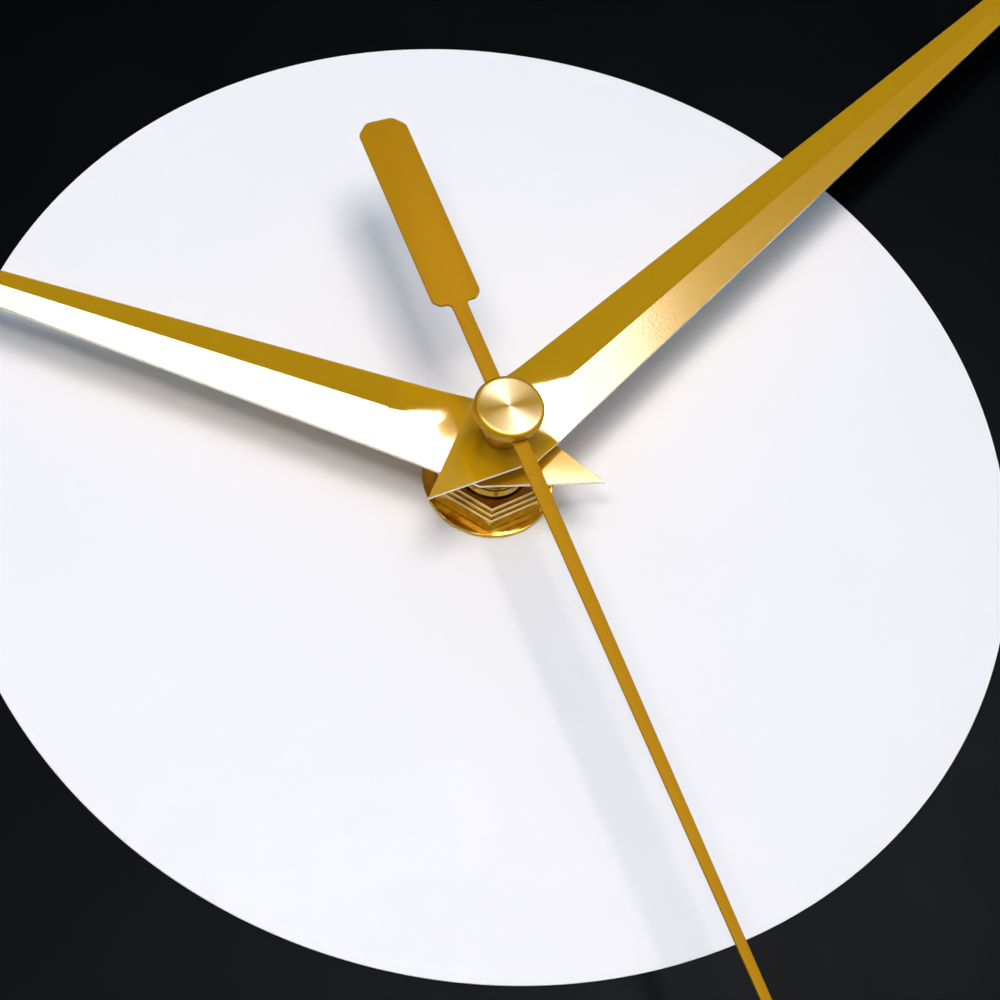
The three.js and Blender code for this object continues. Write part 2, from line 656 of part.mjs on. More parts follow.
function movementCase() {
  const outline = roundedRectangle(-caseHalf, caseHalf, -caseHalf, caseHalf, CASE_CORNER);
  const trainRoom = roundedRectangle(
    -caseInner, caseInner, trainBottom, caseInner, CASE_CORNER - CASE_WALL);
  const bayRoom = roundedRectangle(
    -caseInner, caseInner, -caseInner, bayTop, CASE_CORNER - CASE_WALL);
  const coverSeat = block(
    -caseHalf - CUT_OVERRUN, caseHalf + CUT_OVERRUN,
    trainBottom - CASE_WALL / 2, caseHalf + CUT_OVERRUN,
    -CUT_OVERRUN, COVER_THICKNESS + RESTING_GAP);
  const latchWindow = block(
    -caseHalf - CUT_OVERRUN, caseHalf + CUT_OVERRUN,
    LATCH_HEIGHT - LATCH_WIDTH / 2 - SEAT_GAP, LATCH_HEIGHT + LATCH_WIDTH / 2 + SEAT_GAP,
    latchBack - SEAT_GAP, latchFront + SEAT_GAP);
  const fingerNotch = bar(
    FINGER_NOTCH_RADIUS, caseInner - CUT_OVERRUN, caseHalf + CUT_OVERRUN, ROUND).rotate([90, 0, 0]);
  const shell = cutAll(plate(outline, 0, CASE_DEPTH, CORNER), [
    plate(trainRoom, -CUT_OVERRUN, caseInnerFront, CORNER),
    plate(bayRoom, -CUT_OVERRUN, CASE_DEPTH - BAY_FRONT_WALL, CORNER),
    coverSeat,
    latchWindow,
    fingerNotch,
  ]);
  const wallFront = caseInnerFront + JOIN_OVERLAP;
  const posts = [-POST_X, POST_X].map((x) => bar(
    POST_RADIUS, statorFront + RESTING_GAP, wallFront, SMALL, { x, y: COIL_HEIGHT }));
  const stud = bar(PIVOT_RADIUS, motionLayer, wallFront, TINY, motionAt);
  const bosses = [thirdAt, knobAt].map((at) => bossWithHole(
    at, frontBossBack, wallFront, PIVOT_RADIUS + RUNNING_GAP, frontBossBack - CUT_OVERRUN, frontPivotEnd));
  const plateFeet = plateFeetAt().map((at) => bar(
    BOSS_RADIUS, plateFront + RESTING_GAP, wallFront, TINY, at));
  const body = joinAll([shell, ...posts, stud, ...bosses.map((entry) => entry.boss), ...plateFeet]);
  const screwHoles = [-POST_X, POST_X].map((x) => bar(
    SCREW_RADIUS + SEAT_GAP, statorFront - CUT_OVERRUN, statorFront + SCREW_LENGTH, TINY,
    { x, y: COIL_HEIGHT }));
  const bushHole = drill(BUSH_RADIUS + SEAT_GAP, caseInnerFront, CASE_DEPTH, SMALL);
  return toMesh(
    'movement_case',
    cutAll(body, [...bosses.map((entry) => entry.hole), ...screwHoles, bushHole]),
    finishes.blackPlastic);
}

function plateFeetAt() {
  const reach = plateRight - PLATE_FOOT_INSET;
  const rows = [plateBottom + PLATE_FOOT_INSET, plateTop - PLATE_FOOT_INSET];
  return rows.flatMap((y) => [{ x: -reach, y }, { x: reach, y }]);
}

function wellRadius() {
  return KNOB_RADIUS + RUNNING_GAP;
}

function backCover() {
  const wholeBack = roundedRectangle(-caseHalf, caseHalf, -caseHalf, caseHalf, CASE_CORNER);
  const bottomEdge = trainBottom - CASE_WALL / 2 + SEAT_GAP;
  const cover = plate(wholeBack, 0, COVER_THICKNESS, CORNER).intersect(block(
    -caseHalf, caseHalf, bottomEdge, caseHalf, -CUT_OVERRUN, COVER_THICKNESS + CUT_OVERRUN));
  const lipOuter = caseInner - SEAT_GAP;
  const lipInner = lipOuter - LIP_THICKNESS;
  const lipBottom = trainBottom + SEAT_GAP;
  const lipCorner = CASE_CORNER - CASE_WALL - SEAT_GAP;
  const lip = plate(
    roundedRectangle(-lipOuter, lipOuter, lipBottom, lipOuter, lipCorner),
    COVER_THICKNESS - JOIN_OVERLAP, COVER_THICKNESS + LIP_HEIGHT, CORNER);
  const latches = block(
    -caseInner - LATCH_REACH, caseInner + LATCH_REACH,
    LATCH_HEIGHT - LATCH_WIDTH / 2, LATCH_HEIGHT + LATCH_WIDTH / 2, latchBack, latchFront);
  const lipRoom = plate(
    roundedRectangle(
      -lipInner, lipInner, lipBottom + LIP_THICKNESS, lipInner, lipCorner - LIP_THICKNESS),
    0, COVER_THICKNESS + 2 * LIP_HEIGHT, CORNER);
  const wellFloorBack = KNOB_RECESS + KNOB_DEPTH + RUNNING_GAP;
  const wellFront = wellFloorBack + WELL_FLOOR;
  const well = bar(wellRadius() + WELL_WALL, COVER_THICKNESS / 2, wellFront, ROUND, knobAt);
  const wellRoom = bar(wellRadius(), -CUT_OVERRUN, wellFloorBack, ROUND, knobAt);
  const stemHole = drill(KNOB_STEM_RADIUS + RUNNING_GAP, wellFloorBack, wellFront, SMALL, knobAt);
  const pivots = [centreAt, thirdAt, stepAt, rotorAt].map((at) => bossWithHole(
    at, COVER_THICKNESS - JOIN_OVERLAP, bossFront,
    PIVOT_RADIUS + RUNNING_GAP, COVER_THICKNESS + PIVOT_FLOOR, bossFront + CUT_OVERRUN));
  const boardPegs = boardPegsAt().map((at) => bar(
    BOSS_RADIUS, COVER_THICKNESS - JOIN_OVERLAP, boardBackDepth - RESTING_GAP, TINY, at));
  const body = joinAll([
    cover, lip.add(latches).subtract(lipRoom), well,
    ...pivots.map((entry) => entry.boss), ...boardPegs]);
  return toMesh(
    'back_cover',
    cutAll(body, [wellRoom, stemHole, ...pivots.map((entry) => entry.hole)]),
    finishes.blackPlastic);
}

function boardPegsAt() {
  const { left, right, bottom, top, pegInset } = PCB;
  return [
    { x: left + pegInset, y: bottom + pegInset },
    { x: left + pegInset, y: top - pegInset },
    { x: right - pegInset, y: top - pegInset },
  ];
}

function middlePlate() {
  const outline = roundedRectangle(
    -plateRight, plateRight, plateBottom, plateTop, CASE_CORNER - CASE_WALL);
  const sheet = plate(outline, plateBack, plateFront, CORNER);
  const pinionRoom = (TEETH.knobPinion / 2 + ADDENDUM) * modules.cannon + RUNNING_GAP;
  const thirdPinionRoom = (TEETH.thirdPinion / 2 + ADDENDUM) * modules.centre + RUNNING_GAP;
  return toMesh('middle_plate', cutAll(sheet, [
    drill(SECONDS_ARBOR_RADIUS + RUNNING_GAP, plateBack, plateFront, TINY),
    drill(PIVOT_RADIUS + RUNNING_GAP, plateBack, plateFront, TINY, stepAt),
    drill(PIVOT_RADIUS + RUNNING_GAP, plateBack, plateFront, TINY, rotorAt),
    drill(thirdPinionRoom, plateBack, plateFront, SMALL, thirdAt),
    drill(pinionRoom, plateBack, plateFront, SMALL, knobAt),
  ]), finishes.greyPlastic);
}

// Battery and contacts

// Turned pieces that lie along x: built along z, then laid over at the battery's place
function lying(solid) {
  return solid.rotate([0, 90, 0]).translate([0, batteryY, batteryDepth]);
}

function battery() {
  const shoulder = batteryRight - BATTERY_NUB_LENGTH;
  const profile = [
    [0, batteryLeft],
    [BATTERY_RADIUS - BATTERY_BEVEL, batteryLeft],
    [BATTERY_RADIUS, batteryLeft + BATTERY_BEVEL],
    [BATTERY_RADIUS, shoulder - BATTERY_BEVEL],
    [BATTERY_RADIUS - BATTERY_BEVEL, shoulder],
    [BATTERY_NUB_RADIUS, shoulder],
    [BATTERY_NUB_RADIUS, batteryRight],
    [0, batteryRight],
  ];
  return toMesh('battery', lying(turned(profile, ROUND)), finishes.batteryWrap);
}

// The cone spring's wire as one tube, with its wide end on the case wall
class ConeSpring extends THREE.Curve {
  getPoint(share, target = new THREE.Vector3()) {
    const angle = share * SPRING_TURNS * 2 * Math.PI;
    const radius = THREE.MathUtils.lerp(SPRING_BASE_RADIUS, SPRING_TOP_RADIUS, share);
    const from = -caseInner + SEAT_GAP + SPRING_WIRE / 2;
    const to = batteryLeft - SEAT_GAP - SPRING_WIRE / 2;
    return target.set(
      THREE.MathUtils.lerp(from, to, share),
      batteryY + radius * Math.cos(angle),
      batteryDepth + radius * Math.sin(angle));
  }
}

function negativeSpring() {
  const stepsPerTurn = 16;
  const sides = 6;
  const section = new THREE.Shape();
  for (let side = 0; side < sides; side += 1) {
    const angle = (side / sides) * 2 * Math.PI;
    const x = (SPRING_WIRE / 2) * Math.cos(angle);
    const y = (SPRING_WIRE / 2) * Math.sin(angle);
    if (side === 0) section.moveTo(x, y);
    else section.lineTo(x, y);
  }
  section.closePath();
  const geometry = new THREE.ExtrudeGeometry(section, {
    steps: stepsPerTurn * SPRING_TURNS,
    extrudePath: new ConeSpring(),
  });
  return toMesh('negative_spring', toSolid(geometry), finishes.springSteel);
}

// The least distance between one turn's surface and the next, measured on points of the curve
function leastSpringGap() {
  const curve = new ConeSpring();
  const samples = 40 * SPRING_TURNS;
  const points = [];
  for (let index = 0; index <= samples; index += 1) {
    points.push(curve.getPoint(index / samples));
  }
  let least = Infinity;
  const halfTurn = samples / SPRING_TURNS / 2;
  points.forEach((point, index) => {
    for (let other = index + halfTurn; other <= samples; other += 1) {
      least = Math.min(least, point.distanceTo(points[other]) - SPRING_WIRE);
    }
  });
  return least;
}

function positiveContact() {
  const back = batteryDepth - CONTACT_WIDTH / 2;
  const front = batteryDepth + CONTACT_WIDTH / 2;
  const leaf = block(
    contactFront, contactFront + CONTACT_THICKNESS,
    batteryY - CONTACT_REACH, batteryY + CONTACT_REACH, back, front);
  return toMesh('positive_contact', leaf, finishes.springSteel);
}

// Train

function pivoted(at, back, front) {
  return bar(PIVOT_RADIUS, back, front, TINY, at);
}

function rotorMagnet() {
  const ring = bar(MAGNET_RADIUS, magnetBack, magnetFront, SMALL, rotorAt);
  const hole = drill(ARBOR_RADIUS + SEAT_GAP, magnetBack, magnetFront, TINY, rotorAt);
  return toMesh('rotor_magnet', ring.subtract(hole), finishes.magnet);
}

function rotorPinion() {
  const solids = [
    gear(TEETH.rotorPinion, modules.step, phases.rotorPinion, stepLayer, rotorAt),
    bar(MAGNET_COLLAR_RADIUS, stepLayer + WHEEL_THICKNESS + RUNNING_GAP, magnetBack - RESTING_GAP,
      TINY, rotorAt),
    bar(ARBOR_RADIUS, stepLayer, magnetFront, TINY, rotorAt),
    pivoted(rotorAt, pivotBack, plateFront),
  ];
  return toMesh('rotor_pinion', joinAll(solids), finishes.whitePlastic);
}

function stepWheel() {
  const solids = [
    gear(TEETH.stepWheel, modules.step, phases.stepWheel, stepLayer, stepAt),
    gear(TEETH.stepPinion, modules.seconds, phases.stepPinion, secondsLayer, stepAt),
    bar(ARBOR_RADIUS, stepLayer, plateBack - RUNNING_GAP, TINY, stepAt),
    pivoted(stepAt, pivotBack, plateFront),
  ];
  return toMesh('step_wheel', joinAll(solids), finishes.whitePlastic);
}

function thirdWheel() {
  const solids = [
    gear(TEETH.thirdWheel, modules.third, phases.thirdWheel, thirdLayer, thirdAt),
    gear(TEETH.thirdPinion, modules.centre, phases.thirdPinion, centreLayer, thirdAt),
    bar(ARBOR_RADIUS, bossFront + RUNNING_GAP, motionLayer, TINY, thirdAt),
    pivoted(thirdAt, pivotBack, frontPivotEnd - RUNNING_GAP),
  ];
  const windows = spokeWindows(TEETH.thirdWheel, modules.third, thirdLayer, thirdAt);
  return toMesh('third_wheel', cutAll(joinAll(solids), windows), finishes.whitePlastic);
}

function secondsWheel() {
  const solids = [
    gear(TEETH.secondsWheel, modules.seconds, phases.secondsWheel, secondsLayer),
    gear(TEETH.secondsPinion, modules.third, phases.secondsPinion, thirdLayer),
    bar(SECONDS_HUB_RADIUS, stepLayer + WHEEL_THICKNESS + RUNNING_GAP, thirdLayer - RUNNING_GAP, TINY),
    bar(SECONDS_PIPE_RADIUS, secondsLayer, thirdLayer + WHEEL_THICKNESS, TINY),
  ];
  const hole = drill(SECONDS_ARBOR_RADIUS + PILOT_GAP / 2, stepLayer, plateBack, TINY);
  const windows = spokeWindows(TEETH.secondsWheel, modules.seconds, secondsLayer);
  return toMesh('seconds_wheel', cutAll(joinAll(solids), [hole, ...windows]), finishes.whitePlastic);
}

function secondsArbor() {
  return toMesh(
    'seconds_arbor',
    bar(SECONDS_ARBOR_RADIUS, pivotBack, secondsHandBack - RESTING_GAP, TINY),
    finishes.springSteel);
}

// The centre wheel grips the cannon by friction, so that the hands can be set
function centreWheel() {
  const wheel = gear(TEETH.centreWheel, modules.centre, phases.centreWheel, centreLayer);
  const hole = drill(CANNON_RADIUS + PILOT_GAP, centreLayer, centreLayer + WHEEL_THICKNESS, SMALL);
  const windows = spokeWindows(TEETH.centreWheel, modules.centre, centreLayer);
  return toMesh('centre_wheel', cutAll(wheel, [hole, ...windows]), finishes.whitePlastic);
}

function cannonPinion() {
  const shoulder = minuteHandBack - RESTING_GAP;
  const threadEnd = minuteHandFront + MINUTE_THREAD_LENGTH;
  const profile = [
    [0, centreLayer],
    [CANNON_RADIUS, centreLayer],
    [CANNON_RADIUS, shoulder],
    [CANNON_THREAD_RADIUS, shoulder],
    [CANNON_THREAD_RADIUS, threadEnd],
    [0, threadEnd],
  ];
  const pinion = gear(TEETH.cannonPinion, modules.cannon, phases.cannonPinion, motionLayer);
  const bore = drill(CANNON_BORE, centreLayer, threadEnd, TINY);
  return toMesh('cannon_pinion', turned(profile, SMALL).add(pinion).subtract(bore), finishes.brass);
}

function motionWheel() {
  const hub = bar(MOTION_HUB_RADIUS, motionLayer, bushFlangeBack, TINY, motionAt);
  const solids = [
    gear(TEETH.motionWheel, modules.cannon, phases.motionWheel, motionLayer, motionAt),
    gear(TEETH.motionPinion, modules.hour, phases.motionPinion, hourLayer, motionAt),
    hub,
  ];
  const hole = drill(PIVOT_RADIUS + RUNNING_GAP, motionLayer, bushFlangeBack, TINY, motionAt);
  return toMesh('motion_wheel', joinAll(solids).subtract(hole), finishes.whitePlastic);
}

function hourWheel() {
  const profile = [
    [0, hourLayer],
    [HOUR_PIPE_RADIUS, hourLayer],
    [HOUR_PIPE_RADIUS, hourHandBack - RESTING_GAP],
    [HOUR_STEP_RADIUS, hourHandBack - RESTING_GAP],
    [HOUR_STEP_RADIUS, hourHandFront],
    [0, hourHandFront],
  ];
  const wheel = gear(TEETH.hourWheel, modules.hour, phases.hourWheel, hourLayer);
  const bore = drill(HOUR_PIPE_BORE, hourLayer, hourHandFront, SMALL);
  return toMesh('hour_wheel', turned(profile, SMALL).add(wheel).subtract(bore), finishes.brass);
}

function settingKnob() {
  const shape = new THREE.Shape();
  for (let flute = 0; flute < KNOB_FLUTES * 2; flute += 1) {
    const angle = (flute / KNOB_FLUTES) * Math.PI;
    const reach = flute % 2 ? KNOB_RADIUS - KNOB_FLUTE_DEPTH : KNOB_RADIUS;
    const x = reach * Math.cos(angle);
    const y = reach * Math.sin(angle);
    if (flute === 0) shape.moveTo(x, y);
    else shape.lineTo(x, y);
  }
  shape.closePath();
  const knobFront = KNOB_RECESS + KNOB_DEPTH;
  const knob = plate(shape, KNOB_RECESS, knobFront).translate([knobAt.x, knobAt.y, 0]);
  const dish = bar(
    KNOB_DISH_RADIUS, KNOB_RECESS - CUT_OVERRUN, KNOB_RECESS + KNOB_DISH_DEPTH, SMALL, knobAt);
  const stem = bar(
    KNOB_STEM_RADIUS, knobFront - JOIN_OVERLAP, frontBossBack - RUNNING_GAP, TINY, knobAt);
  const pivot = pivoted(knobAt, knobFront, frontPivotEnd - RUNNING_GAP);
  const pinion = gear(TEETH.knobPinion, modules.cannon, phases.knobPinion, motionLayer, knobAt);
  return toMesh('setting_knob', joinAll([knob.subtract(dish), stem, pivot, pinion]), finishes.whitePlastic);
}

// Motor and electronics

function stator() {
  const ringRadius = MAGNET_RADIUS + RUNNING_GAP + STATOR_RING;
  const armTop = COIL_HEIGHT - COIL_FLANGE_RADIUS - SEAT_GAP;
  const armBottom = armTop - STATOR_ARM;
  const back = statorBack;
  const front = statorFront;
  const solids = [
    bar(ringRadius, back, front, ROUND, rotorAt),
    block(-POST_X - STATOR_ARM / 2, POST_X + STATOR_ARM / 2, armBottom, armTop, back, front),
  ];
  for (const x of [-POST_X, POST_X]) {
    solids.push(block(x - STATOR_ARM / 2, x + STATOR_ARM / 2, armBottom, COIL_HEIGHT, back, front));
    solids.push(bar(POST_RADIUS, back, front, SMALL, { x, y: COIL_HEIGHT }));
  }
  const holes = [-POST_X, POST_X].map((x) => drill(
    SCREW_RADIUS + SEAT_GAP, back, front, TINY, { x, y: COIL_HEIGHT }));
  const rotorRoom = drill(MAGNET_RADIUS + RUNNING_GAP, back, front, ROUND, rotorAt);
  return toMesh('stator', cutAll(joinAll(solids), [rotorRoom, ...holes]), finishes.siliconSteel);
}

function coilCore() {
  const strip = block(
    -POST_X, POST_X, COIL_HEIGHT - CORE_HALF_WIDTH, COIL_HEIGHT + CORE_HALF_WIDTH, coreBack, coreFront);
  const ends = [-POST_X, POST_X].map((x) => bar(
    CORE_END_HALF_WIDTH, coreBack, coreFront, SMALL, { x, y: COIL_HEIGHT }));
  const holes = [-POST_X, POST_X].map((x) => drill(
    SCREW_RADIUS + SEAT_GAP, coreBack, coreFront, TINY, { x, y: COIL_HEIGHT }));
  return toMesh('coil_core', cutAll(joinAll([strip, ...ends]), holes), finishes.siliconSteel);
}

// A piece of the coil that is built along z and laid along x
function alongCoil(solid) {
  return solid.rotate([0, 90, 0]).translate([0, COIL_HEIGHT, (coreBack + coreFront) / 2]);
}

function coilBobbin() {
  const end = COIL_HALF_LENGTH;
  const inside = end - COIL_FLANGE_THICKNESS;
  const profile = [
    [0, -end],
    [COIL_FLANGE_RADIUS, -end],
    [COIL_FLANGE_RADIUS, -inside],
    [BOBBIN_BARREL_RADIUS, -inside],
    [BOBBIN_BARREL_RADIUS, inside],
    [COIL_FLANGE_RADIUS, inside],
    [COIL_FLANGE_RADIUS, end],
    [0, end],
  ];
  const slot = block(
    -end - CUT_OVERRUN, end + CUT_OVERRUN,
    COIL_HEIGHT - CORE_HALF_WIDTH - SEAT_GAP, COIL_HEIGHT + CORE_HALF_WIDTH + SEAT_GAP,
    coreBack - SEAT_GAP, coreFront + SEAT_GAP);
  return toMesh('coil_bobbin', alongCoil(turned(profile, SMALL)).subtract(slot), finishes.whitePlastic);
}

function coilWinding() {
  const end = COIL_HALF_LENGTH - COIL_FLANGE_THICKNESS - SEAT_GAP;
  const winding = bar(WINDING_RADIUS, -end, end, SMALL);
  const hole = drill(BOBBIN_BARREL_RADIUS + SEAT_GAP, -end, end, SMALL);
  return toMesh('coil_winding', alongCoil(winding.subtract(hole)), finishes.copper);
}

function statorScrew(name, x) {
  const at = { x, y: COIL_HEIGHT };
  const head = bar(SCREW_HEAD_RADIUS, screwHeadBack, screwHeadFront, SMALL, at);
  const shank = bar(SCREW_RADIUS, screwHeadBack + SCREW_SLOT_DEPTH, screwHeadFront + SCREW_LENGTH, TINY, at);
  const slot = block(
    x - 2 * SCREW_HEAD_RADIUS, x + 2 * SCREW_HEAD_RADIUS,
    COIL_HEIGHT - SCREW_SLOT_WIDTH / 2, COIL_HEIGHT + SCREW_SLOT_WIDTH / 2,
    screwHeadBack - CUT_OVERRUN, screwHeadBack + SCREW_SLOT_DEPTH);
  return toMesh(name, head.add(shank).subtract(slot), finishes.zincSteel);
}

function circuitBoard() {
  const shape = roundedRectangle(PCB.left, PCB.right, PCB.bottom, PCB.top, PCB.corner);
  const front = boardBackDepth + PCB.thickness;
  return toMesh('circuit_board', plate(shape, boardBackDepth, front, CORNER), finishes.greenBoard);
}

// The drop of resin over the chip
function timingChip() {
  const at = { x: PCB.right - CHIP_INSET, y: (PCB.bottom + PCB.top) / 2 };
  const rings = 4;
  const profile = [[0, boardPartsDepth]];
  for (let ring = 0; ring < rings; ring += 1) {
    const angle = (ring / rings) * (Math.PI / 2);
    profile.push([CHIP_RADIUS * Math.cos(angle), boardPartsDepth + CHIP_HEIGHT * Math.sin(angle)]);
  }
  profile.push([0, boardPartsDepth + CHIP_HEIGHT]);
  return toMesh('timing_chip', turned(profile, SMALL, at), finishes.blackResin);
}

// A watch crystal in its can, lying on the board
function quartzCrystal() {
  const at = { x: PCB.left + CRYSTAL_INSET, y: (PCB.bottom + PCB.top) / 2 };
  const can = bar(CRYSTAL_RADIUS, -CRYSTAL_LENGTH / 2, CRYSTAL_LENGTH / 2, TINY);
  const lift = boardPartsDepth + CRYSTAL_RADIUS;
  return toMesh(
    'quartz_crystal',
    can.rotate([90, 0, 0]).translate([at.x, at.y, lift]),
    finishes.springSteel);
}

// Hands

// A thin sheet: its front corners as [along, across, rise], the facets between them and its outline
function sheetSolid(corners, facets, outline, thickness, front, clockwise) {
  const direction = radians(90 - clockwise);
  const place = ([along, across, rise], drop) => [
    along * Math.cos(direction) - across * Math.sin(direction),
    along * Math.sin(direction) + across * Math.cos(direction),
    front + rise - drop,
  ];
  const count = corners.length;
  const positions = [0, thickness].flatMap((drop) => corners.flatMap((corner) => place(corner, drop)));
  const index = [];
  for (const [a, b, c] of facets) {
    index.push(a, b, c);
    index.push(count + a, count + c, count + b);
  }
  outline.forEach((from, position) => {
    const to = outline[(position + 1) % outline.length];
    index.push(from, count + from, count + to);
    index.push(from, count + to, to);
  });
  const geometry = new THREE.BufferGeometry();
  geometry.setAttribute('position', new THREE.Float32BufferAttribute(positions, 3));
  geometry.setIndex(index);
  return toSolid(geometry);
}

// A kite-shaped hand: a pointed tail, a flat hub and a blade folded along its middle
function foldedHand(name, size, front, clockwise, holeRadius) {
  const slope = (size.halfWidth - size.tipHalfWidth) / (size.length - size.shoulder);
  const halfAt = (along) => size.halfWidth - slope * (along - size.shoulder);
  const ridgeAt = FOLD_START + FOLD_RUN;
  const edgeAt = FOLD_EDGE_START + FOLD_EDGE_RUN;
  const tipShare = size.tipHalfWidth / halfAt(ridgeAt);
  const corners = [
    [-size.tail, 0, 0],
    [size.shoulder, -size.halfWidth, 0],
    [FOLD_EDGE_START, -halfAt(FOLD_EDGE_START), 0],
    [edgeAt, -halfAt(edgeAt), -FOLD_DROP],
    [size.length, -size.tipHalfWidth, -FOLD_DROP * tipShare],
    [size.length, 0, FOLD_RISE * tipShare],
    [size.length, size.tipHalfWidth, -FOLD_DROP * tipShare],
    [edgeAt, halfAt(edgeAt), -FOLD_DROP],
    [FOLD_EDGE_START, halfAt(FOLD_EDGE_START), 0],
    [size.shoulder, size.halfWidth, 0],
    [FOLD_START, 0, 0],
    [ridgeAt, 0, FOLD_RISE],
  ];
  const facets = [
    [0, 1, 9],
    [1, 2, 10],
    [1, 10, 9],
    [10, 8, 9],
    [2, 3, 11],
    [2, 11, 10],
    [10, 11, 8],
    [11, 7, 8],
    [3, 4, 11],
    [4, 5, 11],
    [5, 6, 11],
    [6, 7, 11],
  ];
  const outline = [0, 1, 2, 3, 4, 5, 6, 7, 8, 9];
  const blade = sheetSolid(corners, facets, outline, HAND_SHEET, front, clockwise);
  const hole = drill(holeRadius, front - HAND_SHEET, front, SMALL);
  return toMesh(name, blade.subtract(hole), finishes.goldSheet);
}

// A round nut that widens towards the front; its bore clears the thread and the seconds hub
function minuteNut() {
  const back = minuteHandFront + RESTING_GAP;
  const front = back + MINUTE_NUT_HEIGHT;
  const profile = [
    [0, back],
    [MINUTE_NUT_FOOT_RADIUS, back],
    ...roundedEdge(MINUTE_NUT_RADIUS, front, MINUTE_NUT_BEVEL),
    [0, front],
  ];
  const boreRadius = Math.max(CANNON_THREAD_RADIUS + PILOT_GAP, HUB_RADIUS + RUNNING_GAP);
  const bore = drill(boreRadius, back, front, TINY);
  return toMesh('minute_nut', turned(profile, ROUND).subtract(bore), finishes.goldFlat);
}

// A needle to one side and a chamfered paddle to the other, which balances it
function secondsHand() {
  const size = SECONDS_HAND;
  const neck = size.neckHalfWidth;
  const wide = size.paddleHalfWidth;
  const corner = size.paddleCorner;
  const half = [
    [size.needle, size.needleTipHalfWidth],
    [0, size.needleRootHalfWidth],
    [-size.paddleFrom, neck],
    [-size.paddleFrom, wide - size.paddleShoulder],
    [-size.paddleFrom - size.paddleShoulder, wide],
    [-size.paddleTo + corner, wide],
    [-size.paddleTo, wide - corner],
  ];
  const mirrored = half.map(([along, across]) => [along, -across]).reverse();
  const points = [...half, ...mirrored].map(([along, across]) => new THREE.Vector2(along, across));
  const sheet = plate(new THREE.Shape(points), secondsHandBack, secondsHandFront);
  return toMesh('seconds_hand', sheet.rotate([0, 0, 90 - SECONDS_ANGLE]), finishes.goldFlat);
}

function secondsHub() {
  const front = secondsHandBack - RESTING_GAP;
  const back = front - HUB_HEIGHT;
  const tube = bar(HUB_RADIUS, back, front, SMALL);
  const bore = drill(SECONDS_ARBOR_RADIUS + PILOT_GAP, back, front, TINY);
  return toMesh('seconds_hub', tube.subtract(bore), finishes.brass);
}

function secondsCap() {
  const back = secondsHandFront + RESTING_GAP;
  const front = back + CAP_HEIGHT;
  const profile = [
    [0, back],
    [CAP_RADIUS - CAP_FOOT_INSET, back],
    [CAP_RADIUS, back + CAP_FOOT_INSET],
    ...roundedEdge(CAP_RADIUS, front, CAP_BEVEL),
    [0, front],
  ];
  return toMesh('seconds_cap', turned(profile, ROUND), finishes.goldSpun);
}

// The whole clock

const clock = new THREE.Group();
clock.add(
  dialBoard(),
  centreDisc(),
  dialWasher(),
  dialNut(),
  threadedBush(),
  rubberGasket(),
  hangerBracket(),
  movementCase(),
  backCover(),
  middlePlate(),
  battery(),
  negativeSpring(),
  positiveContact(),
  circuitBoard(),
  timingChip(),
  quartzCrystal(),
  stator(),
  coilCore(),
  coilBobbin(),
  coilWinding(),
  statorScrew('stator_screw_left', -POST_X),
  statorScrew('stator_screw_right', POST_X),
  rotorMagnet(),
  rotorPinion(),
  stepWheel(),
  thirdWheel(),
  secondsWheel(),
  secondsArbor(),
  centreWheel(),
  cannonPinion(),
  motionWheel(),
  hourWheel(),
  settingKnob(),
  foldedHand('hour_hand', HOUR_HAND, hourHandFront, HOUR_ANGLE, HOUR_STEP_RADIUS + PILOT_GAP),
  foldedHand('minute_hand', MINUTE_HAND, minuteHandFront, MINUTE_ANGLE, CANNON_THREAD_RADIUS + PILOT_GAP),
  minuteNut(),
  secondsHand(),
  secondsHub(),
  secondsCap(),
);
clock.rotation.x = Math.PI / 2;

console.log(`least gap between the spring's turns: ${leastSpringGap().toFixed(2)} mm`);

export default clock;
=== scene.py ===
"""Looks of a round wooden wall clock with its quartz movement.

Sizes are in millimetres as seen from the front: x to the right, up towards 12 o'clock, and depth
as the distance out from the wall. point() turns them into the metres of the shared frame.
"""

import math

import bmesh
import bpy
from mathutils import Matrix, Vector
from mathutils.geometry import delaunay_2d_cdt

